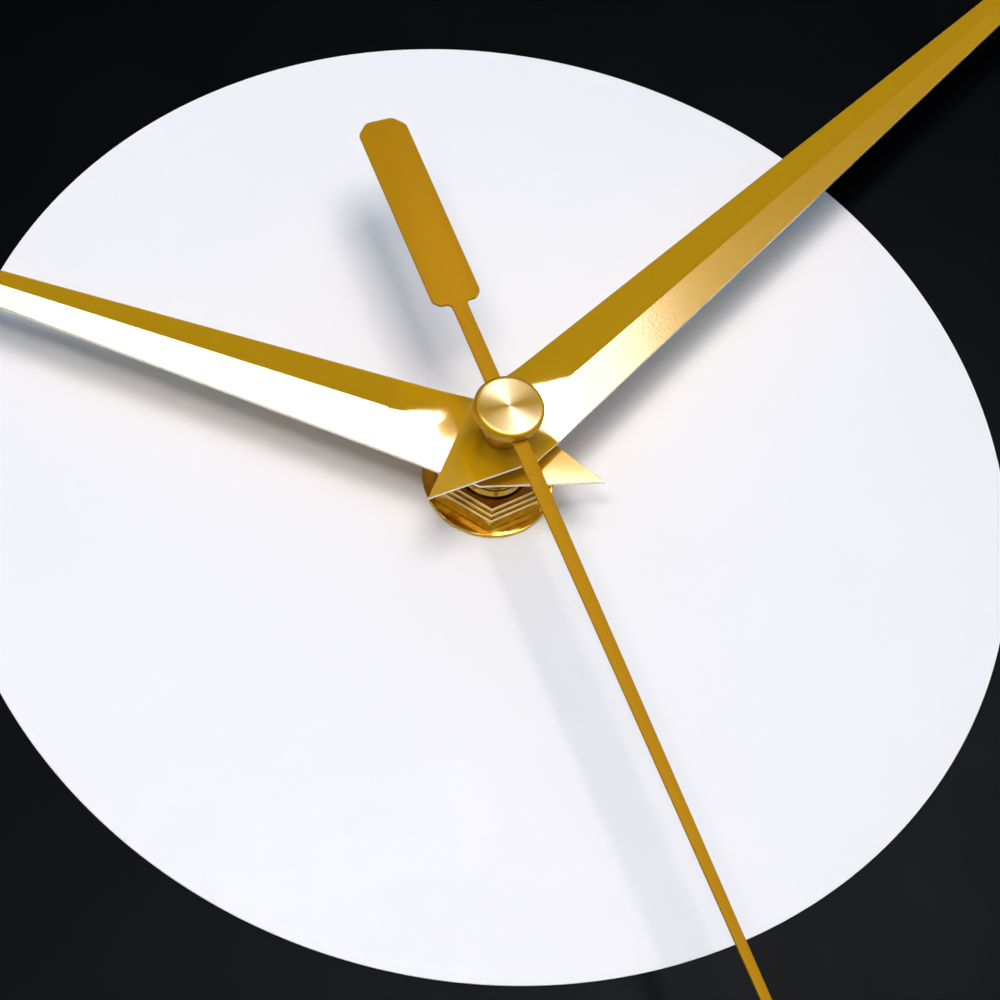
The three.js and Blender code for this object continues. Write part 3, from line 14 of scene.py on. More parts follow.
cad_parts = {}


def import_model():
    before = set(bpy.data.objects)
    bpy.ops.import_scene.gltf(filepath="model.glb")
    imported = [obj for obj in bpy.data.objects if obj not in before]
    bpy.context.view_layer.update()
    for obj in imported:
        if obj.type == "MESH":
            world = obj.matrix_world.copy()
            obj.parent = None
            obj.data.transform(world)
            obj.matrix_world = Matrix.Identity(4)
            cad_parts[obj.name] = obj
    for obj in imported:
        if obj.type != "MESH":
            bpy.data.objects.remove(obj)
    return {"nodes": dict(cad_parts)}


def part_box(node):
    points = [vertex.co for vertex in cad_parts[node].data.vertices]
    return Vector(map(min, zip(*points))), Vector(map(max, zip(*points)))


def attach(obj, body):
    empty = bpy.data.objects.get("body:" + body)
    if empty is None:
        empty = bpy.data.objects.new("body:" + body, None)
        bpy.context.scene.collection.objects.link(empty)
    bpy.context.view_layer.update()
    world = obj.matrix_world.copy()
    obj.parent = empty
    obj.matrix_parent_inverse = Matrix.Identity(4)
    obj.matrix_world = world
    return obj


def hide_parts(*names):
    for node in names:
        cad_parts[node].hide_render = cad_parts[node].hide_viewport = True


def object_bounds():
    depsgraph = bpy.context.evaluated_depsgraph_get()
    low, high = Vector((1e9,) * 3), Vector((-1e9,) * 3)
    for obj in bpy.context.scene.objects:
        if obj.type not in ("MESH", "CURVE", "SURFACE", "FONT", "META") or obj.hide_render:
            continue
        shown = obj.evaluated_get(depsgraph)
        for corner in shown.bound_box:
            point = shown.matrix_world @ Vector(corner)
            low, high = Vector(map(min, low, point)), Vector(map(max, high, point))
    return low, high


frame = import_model()
cad_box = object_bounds()

MM = 0.001

# Segments round a turned form, by its size
DIAL_SEGMENTS = 360
FITTING_SEGMENTS = 128
SMALL_SEGMENTS = 96
HUB_SEGMENTS = 64

# Dial
BOARD_RADIUS = 175.0
BOARD_HOLE = 4.25
BOARD_EDGE_RADIUS = 0.6
DISC_RADIUS = 60.8
DISC_EASE = 0.06
WASHER_RADIUS = 7.5
WASHER_EASE = 0.14
GASKET_RADIUS = 10.0
GASKET_EASE = 0.25
BUSH_RADIUS = 3.95
BUSH_BORE = 2.8
BUSH_EASE = 0.16
BUSH_FLANGE = 0.7
THREAD_PITCH = 0.5
THREAD_DEPTH = 0.22

# Nut: across flats, and (inset, share of the height) of each tier from the foot up
NUT_ACROSS_FLATS = 12.0
NUT_CORNER_BEARING = -110.0
NUT_TIERS = ((0.0, 0.724), (0.45, 0.862), (0.9, 1.0))
NUT_EASE = 0.11
NUT_CHAMFER = NUT_EASE * 1.6
NUT_BORE_CHAMFER = 0.25
NUT_SIDE_STEPS = 18

# Hands
HAND_SHEET = 0.4
FOLD_RISE = 0.5
FOLD_DROP = 0.25
FOLD_START = 8.9
FOLD_EDGE_START = 5.3
FOLD_RUN = 2.6
FOLD_EDGE_RUN = 2.2
FOLD_STAGES = (-0.3, -0.15, 0.0, 0.15, 0.3, 0.5, 0.7, 0.85, 1.0, 1.15, 1.3)
FOLD_SLICES = 12
RIDGE_LEAD = 1.6
RIDGE_STEP = 0.5
OUTLINE_STEP = 1.0
NEAREST_FOLD_END = 0.2
HOLE_STEPS = 40
ROOT_SPOTS = range(-10, 8)
ROOT_SPOT_STEP = 0.8
BLADE_SPOT_START = 16
BLADE_SPOT_STEP = 3
BLADE_SPOT_SHARES = (0.35, 0.7)
CLEAR_OF_EDGE = 0.5
CLEAR_OF_FOLD = 1.2
HAND_EDGE_EASE = 0.04

# "down" is the side of the hand that faces the floor, the leans are its root's slight tilt, and
# "ridge" is how far its ridge runs beside the middle
HOUR_HAND = {
    "length": 95.0, "tail": 12.6, "half": 5.4, "shoulder": 0.4, "tip": 0.3, "hole": 2.35,
    "down": 1, "tail_lean": 0.016, "root_lean": 0.075, "lean_from": 1.0, "lean_to": 4.5,
    "lean_both_sides": False, "fold_stretch": 1.6, "ridge": -0.45,
}
MINUTE_HAND = {
    "length": 136.0, "tail": 11.9, "half": 5.0, "shoulder": 0.6, "tip": 0.3, "hole": 1.4,
    "down": -1, "tail_lean": -0.025, "root_lean": 0.07, "lean_from": 1.5, "lean_to": 4.6,
    "lean_both_sides": True, "fold_stretch": 1.45, "ridge": -0.25,
}
LEAN_CREASE = 0.8
HOUR_ANGLE = 305.6
MINUTE_ANGLE = 62.5
SECONDS_ANGLE = 178.5
SECONDS_OUTLINE = (
    (122.0, 0.3), (0.0, 0.92), (-14.6, 0.92), (-15.0, 1.2), (-15.0, 2.15), (-15.78, 2.9),
    (-39.4, 2.9), (-40.7, 1.6),
)
SECONDS_CORNER = 0.35
SECONDS_EDGE_EASE = 0.05
CAP_RADIUS = 3.95
CAP_LIP = 0.5
CAP_RINGS = 7
HUB_BORE = 0.7
HUB_RADIUS = 1.15
HUB_EASE = 0.08
MINUTE_NUT_FOOT = 1.9
MINUTE_NUT_BORE = 1.45
MINUTE_NUT_RADIUS = 2.8

# Back
KNOB_RADIUS = 5.5
KNOB_FLUTES = 24
KNOB_FLUTE_DEPTH = 0.3
KNOB_DEPTH = 2.4
KNOB_RIB_RADIUS = 0.5
KNOB_DISH_RADIUS = 3.0
KNOB_DISH_DEPTH = 0.6
NUB_LENGTH = 1.3
NUB_RADIUS = 2.6
SPRING_WIRE = 0.5
SPRING_TURNS = 3
SPRING_BASE = 4.4
SPRING_TOP = 1.8
WRAP_THICKNESS = 0.15
WRAP_BAND_START = 12.5

# Photograph's viewpoint, in metres
CAMERA_PLACE = (-0.10958, -0.34305, -0.16163)
CAMERA_RIGHT = (0.9289, -0.1526, -0.3374)
CAMERA_UP = (0.2236, -0.4952, 0.8395)
CAMERA_FORWARD = (0.2952, 0.8553, 0.4259)
CAMERA_LENS = 118.97
CAMERA_SENSOR = 36.0

# Studio, in metres
BACKDROP_COLOUR = (0.80, 0.81, 0.83, 1)
OVERHEAD_COLOUR = (0.014, 0.0145, 0.016, 1)
FILL_COLOUR = (0.057, 0.19, 0.32, 1)
FLOOR_COLOUR = (0.5, 0.505, 0.515, 1)
FLOOR_GLOW = 0.45
FLOOR_GAP = 0.002
FLOOR_REACH = 30.0
PLAIN_LIGHT = (1.0, 1.0, 1.0)
WARM_LIGHT = (1.0, 0.885, 0.81)
WARM_BACK_LIGHT = (1.0, 0.92, 0.83)
PANEL_LIGHT = (1.0, 0.97, 0.94)


def point(x, up, depth):
    """A point of the clock in metres of the shared frame."""
    return Vector((x * MM, -depth * MM, up * MM))


def depths(node):
    """How far a node's back and front are from the wall."""
    low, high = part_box(node)
    return -high.y / MM, -low.y / MM


def middle(node):
    """The middle of a node as seen from the front."""
    low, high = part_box(node)
    return (low.x + high.x) / 2 / MM, (low.z + high.z) / 2 / MM


def turn(along, across, clockwise):
    """A place on a hand, given along and across it, as x and up on the dial."""
    angle = math.radians(90 - clockwise)
    return (
        along * math.cos(angle) - across * math.sin(angle),
        along * math.sin(angle) + across * math.cos(angle),
    )


# Finishes


class Finish:
    """One procedural material, built node by node round a Principled shader."""

    def __init__(self, name, colour, roughness, metallic=0.0, **sockets):
        self.material = bpy.data.materials.new(name)
        self.material.use_nodes = True
        self.tree = self.material.node_tree
        self.shader = self.tree.nodes["Principled BSDF"]
        self.colour = (*colour, 1.0)
        self.set("Base Color", self.colour)
        self.set("Roughness", roughness)
        self.set("Metallic", metallic)
        for socket, value in sockets.items():
            self.set(socket.replace("_", " "), value)
        self.place = self.node("ShaderNodeTexCoord").outputs["Object"]
        self.bump_from = None

    def set(self, socket, value):
        self.shader.inputs[socket].default_value = value

    def node(self, kind, **values):
        """A node with its own settings and its sockets' values, by name."""
        made = self.tree.nodes.new(kind)
        for name, value in values.items():
            if hasattr(made, name):
                setattr(made, name, value)
            else:
                made.inputs[name.replace("_", " ")].default_value = value
        return made

    def link(self, output, socket):
        self.tree.links.new(output, socket)

    def mapped(self, scale, turn=(0, 0, 0), vector=None):
        """Object coordinates, stretched and turned for a pattern that runs one way."""
        made = self.node("ShaderNodeMapping", Scale=scale, Rotation=turn)
        self.link(vector or self.place, made.inputs["Vector"])
        return made.outputs["Vector"]

    def noise(self, scale, vector=None, detail=3.0, distortion=0.0):
        made = self.node(
            "ShaderNodeTexNoise", Scale=scale, Detail=detail, Roughness=0.55, Distortion=distortion)
        self.link(vector or self.place, made.inputs["Vector"])
        return made.outputs["Fac"]

    def spread(self, value, low, high, from_low=0.3, from_high=0.7):
        """A pattern's value brought into a range."""
        made = self.node(
            "ShaderNodeMapRange", From_Min=from_low, From_Max=from_high, To_Min=low, To_Max=high)
        self.link(value, made.inputs["Value"])
        return made.outputs["Result"]

    def tones(self, value, stops):
        """Colours along a pattern's value."""
        made = self.node("ShaderNodeValToRGB")
        ramp = made.color_ramp
        while len(ramp.elements) < len(stops):
            ramp.elements.new(0.5)
        for element, (at, colour) in zip(ramp.elements, stops):
            element.position = at
            element.color = (*colour, 1.0)
        self.link(value, made.inputs["Fac"])
        self.link(made.outputs["Color"], self.shader.inputs["Base Color"])

    def shade(self, value, change):
        """The colour made a little darker and lighter by a pattern."""
        dark = tuple(channel * (1 - change) for channel in self.colour[:3])
        light = tuple(min(1.0, channel * (1 + change)) for channel in self.colour[:3])
        self.tones(value, ((0.3, dark), (0.7, light)))

    def rough(self, value, low, high):
        self.link(self.spread(value, low, high), self.shader.inputs["Roughness"])

    def bump(self, value, height, strength):
        """Relief of a height in millimetres; a later call is added on top."""
        made = self.node("ShaderNodeBump", Strength=strength, Distance=height * MM)
        self.link(value, made.inputs["Height"])
        if self.bump_from:
            self.link(self.bump_from, made.inputs["Normal"])
        self.bump_from = made.outputs["Normal"]
        self.link(self.bump_from, self.shader.inputs["Normal"])
        return self


def lacquered_black():
    finish = Finish(
        "lacquered_black", (0.0013, 0.0015, 0.002), 0.32,
        Specular_IOR_Level=0.02, Specular_Tint=(0.82, 0.92, 1.0, 1.0))
    finish.rough(finish.noise(60), 0.28, 0.34)
    return finish.bump(finish.noise(420, detail=2), 0.01, 0.25).material


def bare_wood():
    """The board's unpainted back: long grain with darker pores."""
    finish = Finish("bare_wood", (0.43, 0.27, 0.14), 0.62, Specular_IOR_Level=0.3)
    grain = finish.noise(9, finish.mapped((18, 4, 1.4)), detail=6, distortion=0.6)
    finish.tones(grain, (
        (0.28, (0.27, 0.155, 0.075)), (0.45, (0.40, 0.245, 0.125)),
        (0.6, (0.50, 0.325, 0.175)), (0.75, (0.56, 0.375, 0.21)),
    ))
    finish.rough(grain, 0.55, 0.7)
    pores = finish.noise(60, finish.mapped((16, 4, 1)), detail=4)
    return finish.bump(pores, 0.12, 0.5).material


def white_film():
    finish = Finish("white_film", (0.875, 0.89, 0.925), 0.5, Specular_IOR_Level=0.2)
    finish.shade(finish.noise(28, detail=5), 0.012)
    finish.rough(finish.noise(300), 0.46, 0.54)
    return finish.bump(finish.noise(900, detail=2), 0.006, 0.2).material


def brushed_gold(name, clockwise):
    """Gold-coloured aluminium sheet, brushed along the hand."""
    finish = Finish(
        name, (0.64, 0.355, 0.002), 0.14, 0.2,
        Coat_Weight=1.0, Coat_Roughness=0.09, Coat_IOR=2.4, Specular_IOR_Level=0.2)
    along = finish.mapped((1, 1, 1), turn=(0, math.radians(90 - clockwise), 0))
    strokes = finish.noise(6, finish.mapped((26, 300, 420), vector=along), detail=4)
    finish.rough(strokes, 0.12, 0.16)
    finish.bump(strokes, 0.0015, 0.15)
    finish.bump(finish.noise(3500, detail=1), 0.005, 0.5)
    finish.link(finish.bump_from, finish.shader.inputs["Coat Normal"])
    return finish.material


def cut_edge():
    finish = Finish("cut_edge", (0.93, 0.89, 0.8), 0.34, 0.6)
    return finish.bump(finish.noise(3000, detail=1), 0.006, 0.3).material


def painted_gold():
    finish = Finish("painted_gold", (0.40, 0.198, 0.001), 0.6, 0.1, Specular_IOR_Level=0.06)
    finish.shade(finish.noise(70), 0.02)
    return finish.bump(finish.noise(1800, detail=2), 0.004, 0.3).material


def spun_gold():
    """Turned gold with the fine rings that a lathe leaves, which stretch a light outwards."""
    finish = Finish("spun_gold", (0.50, 0.285, 0.006), 0.2, 0.15, Anisotropic=0.96, IOR=2.3)
    outwards = finish.node("ShaderNodeVectorMath", operation="MULTIPLY")
    outwards.inputs[1].default_value = (1, 0, 1)
    finish.link(finish.place, outwards.inputs[0])
    to_world = finish.node(
        "ShaderNodeVectorTransform", vector_type="VECTOR", convert_from="OBJECT", convert_to="WORLD")
    finish.link(outwards.outputs[0], to_world.inputs[0])
    unit = finish.node("ShaderNodeVectorMath", operation="NORMALIZE")
    finish.link(to_world.outputs[0], unit.inputs[0])
    finish.link(unit.outputs[0], finish.shader.inputs["Tangent"])
    finish.rough(finish.noise(900), 0.18, 0.22)
    return finish.material


def turned_gold():
    """Satin gold on the sides of the turned fittings."""
    finish = Finish("turned_gold", (0.52, 0.28, 0.008), 0.33, 0.6, Specular_IOR_Level=0.2)
    finish.shade(finish.noise(260), 0.03)
    return finish.bump(finish.noise(1600, detail=2), 0.004, 0.3).material


def plated_gold():
    """Bright gold plating with polishing marks, on the nut, washer and bush."""
    finish = Finish("plated_gold", (0.62, 0.38, 0.05), 0.12, 1.0)
    marks = finish.noise(900, finish.mapped((1, 1, 3)), detail=4)
    finish.rough(marks, 0.07, 0.2)
    finish.shade(marks, 0.12)
    return finish.bump(finish.noise(1500, detail=3), 0.012, 0.5).material


def chamfer_highlight_gold():
    """The nut's chamfers: satin-cut and rougher, which is real, and a paler, brighter gold than the
    plating, which is a painted highlight that keeps them bright from all sides.
    """
    finish = Finish("chamfer_highlight_gold", (0.86, 0.67, 0.27), 0.4, 0.3, Specular_IOR_Level=0.3)
    finish.shade(finish.noise(900, detail=2), 0.06)
    return finish.material


def zinc_steel():
    finish = Finish("zinc_steel", (0.56, 0.58, 0.60), 0.36, 1.0)
    spangle = finish.node("ShaderNodeTexVoronoi", Scale=420)
    finish.link(finish.place, spangle.inputs["Vector"])
    finish.rough(spangle.outputs["Distance"], 0.28, 0.44)
    finish.shade(finish.noise(160, detail=5), 0.08)
    return finish.bump(finish.noise(700), 0.006, 0.3).material


def moulded(name, colour, roughness, grain=0.02):
    """Moulded plastic with a fine spark-eroded grain."""
    finish = Finish(name, colour, roughness)
    finish.shade(finish.noise(90, detail=4), 0.05)
    finish.rough(finish.noise(1500), roughness - 0.06, roughness + 0.06)
    return finish.bump(finish.noise(2400, detail=2), grain, 0.4).material


def bright_metal(name, colour, roughness, change=0.05):
    finish = Finish(name, colour, roughness, 1.0)
    marks = finish.noise(1200, detail=3)
    finish.shade(marks, change)
    finish.rough(marks, roughness - 0.06, roughness + 0.06)
    return finish.bump(marks, 0.004, 0.3).material


def cell_wrap():
    """A plain shrink sleeve: a dark body with a coppery band round the positive end."""
    finish = Finish("cell_wrap", (0.03, 0.032, 0.035), 0.3, Coat_Weight=0.5, Coat_Roughness=0.12)
    split = finish.node("ShaderNodeSeparateXYZ")
    finish.link(finish.place, split.inputs[0])
    band = finish.spread(
        split.outputs["X"], 0, 1, WRAP_BAND_START * MM, (WRAP_BAND_START + 0.1) * MM)
    finish.tones(band, ((0.0, (0.028, 0.03, 0.034)), (1.0, (0.62, 0.30, 0.12))))
    return finish.bump(finish.noise(120, detail=2), 0.02, 0.3).material


def copper_coil():
    """Fine enamelled wire laid turn on turn; the colour darkens in bands where the relief dips, a painted
    shade between the turns.
    """
    finish = Finish("copper_coil", (0.55, 0.22, 0.09), 0.3, 1.0)
    turns = finish.node("ShaderNodeTexWave", wave_type="BANDS", bands_direction="X", Scale=900)
    finish.link(finish.place, turns.inputs["Vector"])
    # Painted shade: darker where the bands' relief dips between the turns, and a painted highlight,
    # lighter on their tops.
    finish.shade(turns.outputs["Fac"], 0.2)
    return finish.bump(turns.outputs["Fac"], 0.03, 0.7).material


finishes = {
    "lacquer": lacquered_black(),
    "wood": bare_wood(),
    "film": white_film(),
    "hour_gold": brushed_gold("hour_gold", HOUR_ANGLE),
    "minute_gold": brushed_gold("minute_gold", MINUTE_ANGLE),
    "chamfer": chamfer_highlight_gold(),
    "edge": cut_edge(),
    "painted": painted_gold(),
    "spun": spun_gold(),
    "turned": turned_gold(),
    "plated": plated_gold(),
    "zinc": zinc_steel(),
    "rubber": moulded("black_rubber", (0.012, 0.012, 0.013), 0.8, 0.05),
    "case": moulded("black_plastic", (0.014, 0.0145, 0.016), 0.5, 0.03),
    "grey": moulded("grey_plastic", (0.30, 0.32, 0.34), 0.5),
    "white": moulded("white_plastic", (0.76, 0.74, 0.68), 0.42, 0.01),
    "spring": bright_metal("spring_steel", (0.64, 0.65, 0.67), 0.26),
    "wrap": cell_wrap(),
    "board": moulded("green_board", (0.02, 0.15, 0.05), 0.4, 0.01),
    "resin": moulded("black_resin", (0.008, 0.008, 0.009), 0.2, 0.01),
    "silicon": bright_metal("silicon_steel", (0.32, 0.33, 0.35), 0.42),
    "copper": copper_coil(),
    "magnet": bright_metal("sintered_magnet", (0.09, 0.09, 0.1), 0.5, 0.15),
}


# Forms


def linked(name, data):
    """An object of the scene, at the origin."""
    made = bpy.data.objects.new(name, data)
    bpy.context.scene.collection.objects.link(made)
    return made


def smooth_but_sharp(mesh, sharp):
    """Smooth shading, apart from the edges that are sharper than an angle."""
    mesh.shade_smooth()
    mesh.set_sharp_from_angle(angle=math.radians(sharp))


def as_piece(name, form, *materials, sharp=30.0, outward=True):
    """A mesh object from a bmesh, smooth but for its real edges."""
    if outward:
        bmesh.ops.recalc_face_normals(form, faces=form.faces)
    mesh = bpy.data.meshes.new(name)
    form.to_mesh(mesh)
    form.free()
    for material in materials:
        mesh.materials.append(material)
    smooth_but_sharp(mesh, sharp)
    return linked(name, mesh)


def made_plain(made):
    """Turns the modifiers' result into the piece's own mesh and drops the modifiers."""
    bpy.context.view_layer.update()
    shown = made.evaluated_get(bpy.context.evaluated_depsgraph_get())
    plain = bpy.data.meshes.new_from_object(shown)
    made.modifiers.clear()
    made.data = plain
    return made


def eased(corners, radius, steps=3, closed=True):
    """The same outline with its corners rounded."""
    count = len(corners)
    points = []
    for index, corner in enumerate(corners):
        here = Vector(corner)
        if not closed and index in (0, count - 1):
            points.append(here)
            continue
        back = Vector(corners[index - 1]) - here
        ahead = Vector(corners[(index + 1) % count]) - here
        reach = min(radius, back.length * 0.45, ahead.length * 0.45)
        start = here + back.normalized() * reach
        end = here + ahead.normalized() * reach
        for step in range(steps + 1):
            share = step / steps
            first = start.lerp(here, share)
            second = here.lerp(end, share)
            points.append(first.lerp(second, share))
    return [tuple(spot) for spot in points]


def revolved(profile, segments, at=(0.0, 0.0), ring=False):
    """A turned form from (radius, depth) points; a ring's profile closes on itself."""
    form = bmesh.new()
    rows = []
    for radius, depth in profile:
        if radius < 1e-6:
            rows.append([form.verts.new(point(*at, depth))])
            continue
        row = []
        for segment in range(segments):
            angle = 2 * math.pi * segment / segments
            row.append(form.verts.new(point(
                at[0] + radius * math.cos(angle), at[1] + radius * math.sin(angle), depth)))
        rows.append(row)
    pairs = list(zip(rows, rows[1:]))
    if ring:
        pairs.append((rows[-1], rows[0]))
    for one, other in pairs:
        for segment in range(segments):
            following = (segment + 1) % segments
            corners = [one[segment % len(one)], one[following % len(one)],
                       other[following % len(other)], other[segment % len(other)]]
            unlike = list(dict.fromkeys(corners))
            if len(unlike) > 2:
                form.faces.new(unlike)
    return form


def flat_ring(node, inner, outer, ease, segments, steps=3):
    """A flat turned ring as thick as its node, with eased corners."""
    back, front = depths(node)
    profile = eased([(inner, back), (outer, back), (outer, front), (inner, front)], ease, steps)
    return revolved(profile, segments, ring=True)


def slab(outline, back, front):
    """A flat form with straight sides between two depths."""
    form = bmesh.new()
    low = [form.verts.new(point(x, up, back)) for x, up in outline]
    high = [form.verts.new(point(x, up, front)) for x, up in outline]
    form.faces.new(low)
    form.faces.new(reversed(high))
    for index in range(len(outline)):
        following = (index + 1) % len(outline)
        form.faces.new([low[index], low[following], high[following], high[index]])
    return form


def round_edges(form, edges, width, steps):
    bmesh.ops.bevel(
        form, geom=edges, offset=width * MM, offset_type="OFFSET", segments=steps,
        profile=0.5, affect="EDGES", clamp_overlap=True, material=-1)


def ease_edges(form, width):
    """Rounds every sharp edge of a form made from sheet."""
    bmesh.ops.recalc_face_normals(form, faces=form.faces)
    sharp = [
        edge for edge in form.edges
        if len(edge.link_faces) == 2 and edge.calc_face_angle(0) > math.radians(50)
    ]
    round_edges(form, sharp, width, 2)


def settle(made, body, slot, *nodes):
    """Gives a finished piece its body and hides the nodes that it stands for; the slot is not used."""
    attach(made, body)
    if nodes:
        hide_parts(*nodes)


def put(name, form, finish, body, slot, *nodes):
    """A piece of one finish, made and settled."""
    settle(as_piece(name, form, finishes[finish]), body, slot, *nodes)


# Dial

BODY = "dial_and_case"

# Turns a form that stands upright so that it faces out from the wall
FACING_OUT = Matrix.Rotation(math.pi / 2, 4, "X")


def dial_board():
    """The lacquered board, with bare wood on its back."""
    form = flat_ring(
        "dial_board", BOARD_HOLE, BOARD_RADIUS, BOARD_EDGE_RADIUS, DIAL_SEGMENTS, steps=4)
    made = as_piece("dial_board_turned", form, finishes["lacquer"], finishes["wood"])
    back, _ = depths("dial_board")
    wooden = -(back + BOARD_EDGE_RADIUS * 0.3) * MM
    for face in made.data.polygons:
        if face.center.y > wooden:
            face.material_index = 1
    settle(made, BODY, "lacquered_board", "dial_board")


def centre_disc():
    form = flat_ring("centre_disc", BOARD_HOLE, DISC_RADIUS, DISC_EASE, DIAL_SEGMENTS)
    put("centre_film", form, "film", BODY, "white_print", "centre_disc")


def washer():
    form = flat_ring("dial_washer", BOARD_HOLE, WASHER_RADIUS, WASHER_EASE, FITTING_SEGMENTS)
    put("washer_turned", form, "plated", BODY, "polished_gold", "dial_washer")


def nut():
    """A hexagon nut whose front steps in twice, with a round threaded bore."""
    back, front = depths("dial_nut")
    rows = []
    chamfers = []
    below = back
    for inset, share in NUT_TIERS:
        top = back + (front - back) * share
        half = NUT_ACROSS_FLATS / 2 - inset
        if rows:
            rows.append((half, below))
        else:
            rows.append((half - NUT_EASE, below))
            rows.append((half, below + NUT_EASE))
        chamfers.append(len(rows))
        rows.append((half, top - NUT_CHAMFER))
        rows.append((half - NUT_CHAMFER, top))
        below = top
    form = bmesh.new()
    rings = []
    for half, depth in rows:
        out = half / math.cos(math.pi / 6)
        ring = []
        for side in range(6):
            one = math.radians(NUT_CORNER_BEARING + 60 * side)
            other = one + math.pi / 3
            for step in range(NUT_SIDE_STEPS):
                share = step / NUT_SIDE_STEPS
                x = out * ((1 - share) * math.cos(one) + share * math.cos(other))
                up = out * ((1 - share) * math.sin(one) + share * math.sin(other))
                ring.append(form.verts.new(point(x, up, depth)))
        rings.append(ring)
    angles = [math.atan2(vert.co.z, vert.co.x) for vert in rings[-1]]
    for radius, depth in (
            (BOARD_HOLE + NUT_BORE_CHAMFER, front), (BOARD_HOLE, front - NUT_BORE_CHAMFER),
            (BOARD_HOLE, back)):
        rings.append([
            form.verts.new(point(radius * math.cos(angle), radius * math.sin(angle), depth))
            for angle in angles
        ])
    for level, (one, other) in enumerate(zip(rings, rings[1:] + rings[:1])):
        for index in range(len(one)):
            following = (index + 1) % len(one)
            face = form.faces.new([one[index], one[following], other[following], other[index]])
            # The chamfer faces take the paler gold with its painted highlight.
            if level in chamfers:
                face.material_index = 1
    made = as_piece("nut_machined", form, finishes["plated"], finishes["chamfer"], sharp=20)
    settle(made, BODY, "polished_gold", "dial_nut")


def sized_tree(name, inputs):
    """A Geometry Nodes tree with named inputs: the tree, the inputs and their outputs."""
    tree = bpy.data.node_groups.new(name, "GeometryNodeTree")
    tree.interface.new_socket("Geometry", in_out="OUTPUT", socket_type="NodeSocketGeometry")
    sockets = {}
    for label, kind in (*inputs, ("Finish", "Material")):
        sockets[label] = tree.interface.new_socket(
            label, in_out="INPUT", socket_type="NodeSocket" + kind)
    return tree, sockets, tree.nodes.new("NodeGroupInput").outputs


def linked_nodes(tree, *pairs):
    for output, socket in pairs:
        tree.links.new(output, socket)


def grown(name, tree, sockets, given, mesh, values, sharp):
    """A plain piece from a tree whose mesh is made real and gets its finish."""
    real = tree.nodes.new("GeometryNodeRealizeInstances")
    coat = tree.nodes.new("GeometryNodeSetMaterial")
    out = tree.nodes.new("NodeGroupOutput")
    linked_nodes(
        tree, (mesh, real.inputs["Geometry"]), (real.outputs["Geometry"], coat.inputs["Geometry"]),
        (given["Finish"], coat.inputs["Material"]), (coat.outputs["Geometry"], out.inputs[0]))
    made = linked(name, bpy.data.meshes.new(name))
    modifier = made.modifiers.new(name, "NODES")
    modifier.node_group = tree
    for label, value in values.items():
        modifier[sockets[label].identifier] = value
    made_plain(made)
    smooth_but_sharp(made.data, sharp)
    return made


def coiled(name, radii, height, turns, wire, sides, finish):
    """A coil made by Geometry Nodes: a spiral, which may taper, swept by a small round section."""
    tree, sockets, given = sized_tree(name, (
        ("Start Radius", "Float"), ("End Radius", "Float"), ("Height", "Float"),
        ("Turns", "Float"), ("Wire Radius", "Float"), ("Sides", "Int")))
    spiral = tree.nodes.new("GeometryNodeCurveSpiral")
    spiral.inputs["Resolution"].default_value = 48
    section = tree.nodes.new("GeometryNodeCurvePrimitiveCircle")
    sweep = tree.nodes.new("GeometryNodeCurveToMesh")
    sweep.inputs["Fill Caps"].default_value = True
    linked_nodes(
        tree, (given["Start Radius"], spiral.inputs["Start Radius"]),
        (given["End Radius"], spiral.inputs["End Radius"]),
        (given["Height"], spiral.inputs["Height"]), (given["Turns"], spiral.inputs["Rotations"]),
        (given["Wire Radius"], section.inputs["Radius"]),
        (given["Sides"], section.inputs["Resolution"]),
        (spiral.outputs["Curve"], sweep.inputs["Curve"]),
        (section.outputs["Curve"], sweep.inputs["Profile Curve"]))
    values = {
        "Start Radius": radii[0] * MM, "End Radius": radii[1] * MM, "Height": height * MM,
        "Turns": turns, "Wire Radius": wire * MM, "Sides": sides, "Finish": finishes[finish],
    }
    return grown(name, tree, sockets, given, sweep.outputs["Mesh"], values, 50)


def bush():
    """The movement's threaded bush, with its ridge standing on a slimmer core."""
    back, front = depths("threaded_bush")
    core = BUSH_RADIUS - THREAD_DEPTH
    low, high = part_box("threaded_bush")
    flange = (high.x - low.x) / 2 / MM
    flange_front = back + BUSH_FLANGE
    profile = eased([
        (BUSH_BORE, back), (flange, back), (flange, flange_front), (core, flange_front),
        (core, front), (BUSH_BORE, front)], BUSH_EASE)
    form = revolved(profile, SMALL_SEGMENTS, ring=True)
    put("bush_core", form, "plated", BODY, "polished_gold", "threaded_bush")
    ridge_back = flange_front + THREAD_PITCH
    height = front - THREAD_PITCH * 0.9 - ridge_back
    ridge = coiled(
        "bush_thread", (core, core), height, height / THREAD_PITCH, THREAD_DEPTH, 4, "plated")
    ridge.data.transform(Matrix.Translation(point(0, 0, ridge_back)) @ FACING_OUT)
    settle(ridge, BODY, "polished_gold")


def gasket():
    form = flat_ring("rubber_gasket", BOARD_HOLE, GASKET_RADIUS, GASKET_EASE, SMALL_SEGMENTS)
    put("gasket_moulded", form, "rubber", BODY, "black_rubber", "rubber_gasket")


# Hands


def half_width(size, along):
    """Half the hand's width at a place on its blade."""
    slope = (size["half"] - size["tip"]) / (size["length"] - size["shoulder"])
    return size["half"] - slope * (along - size["shoulder"])


def soft_ramp(value, ease=0.3):
    """0 to 1 with a short rounding at each end, as pressed sheet has."""
    if value <= -ease:
        return 0.0
    if value < ease:
        return (value + ease) ** 2 / (4 * ease)
    if value <= 1 - ease:
        return value
    if value < 1 + ease:
        return 1 - (1 + ease - value) ** 2 / (4 * ease)
    return 1.0


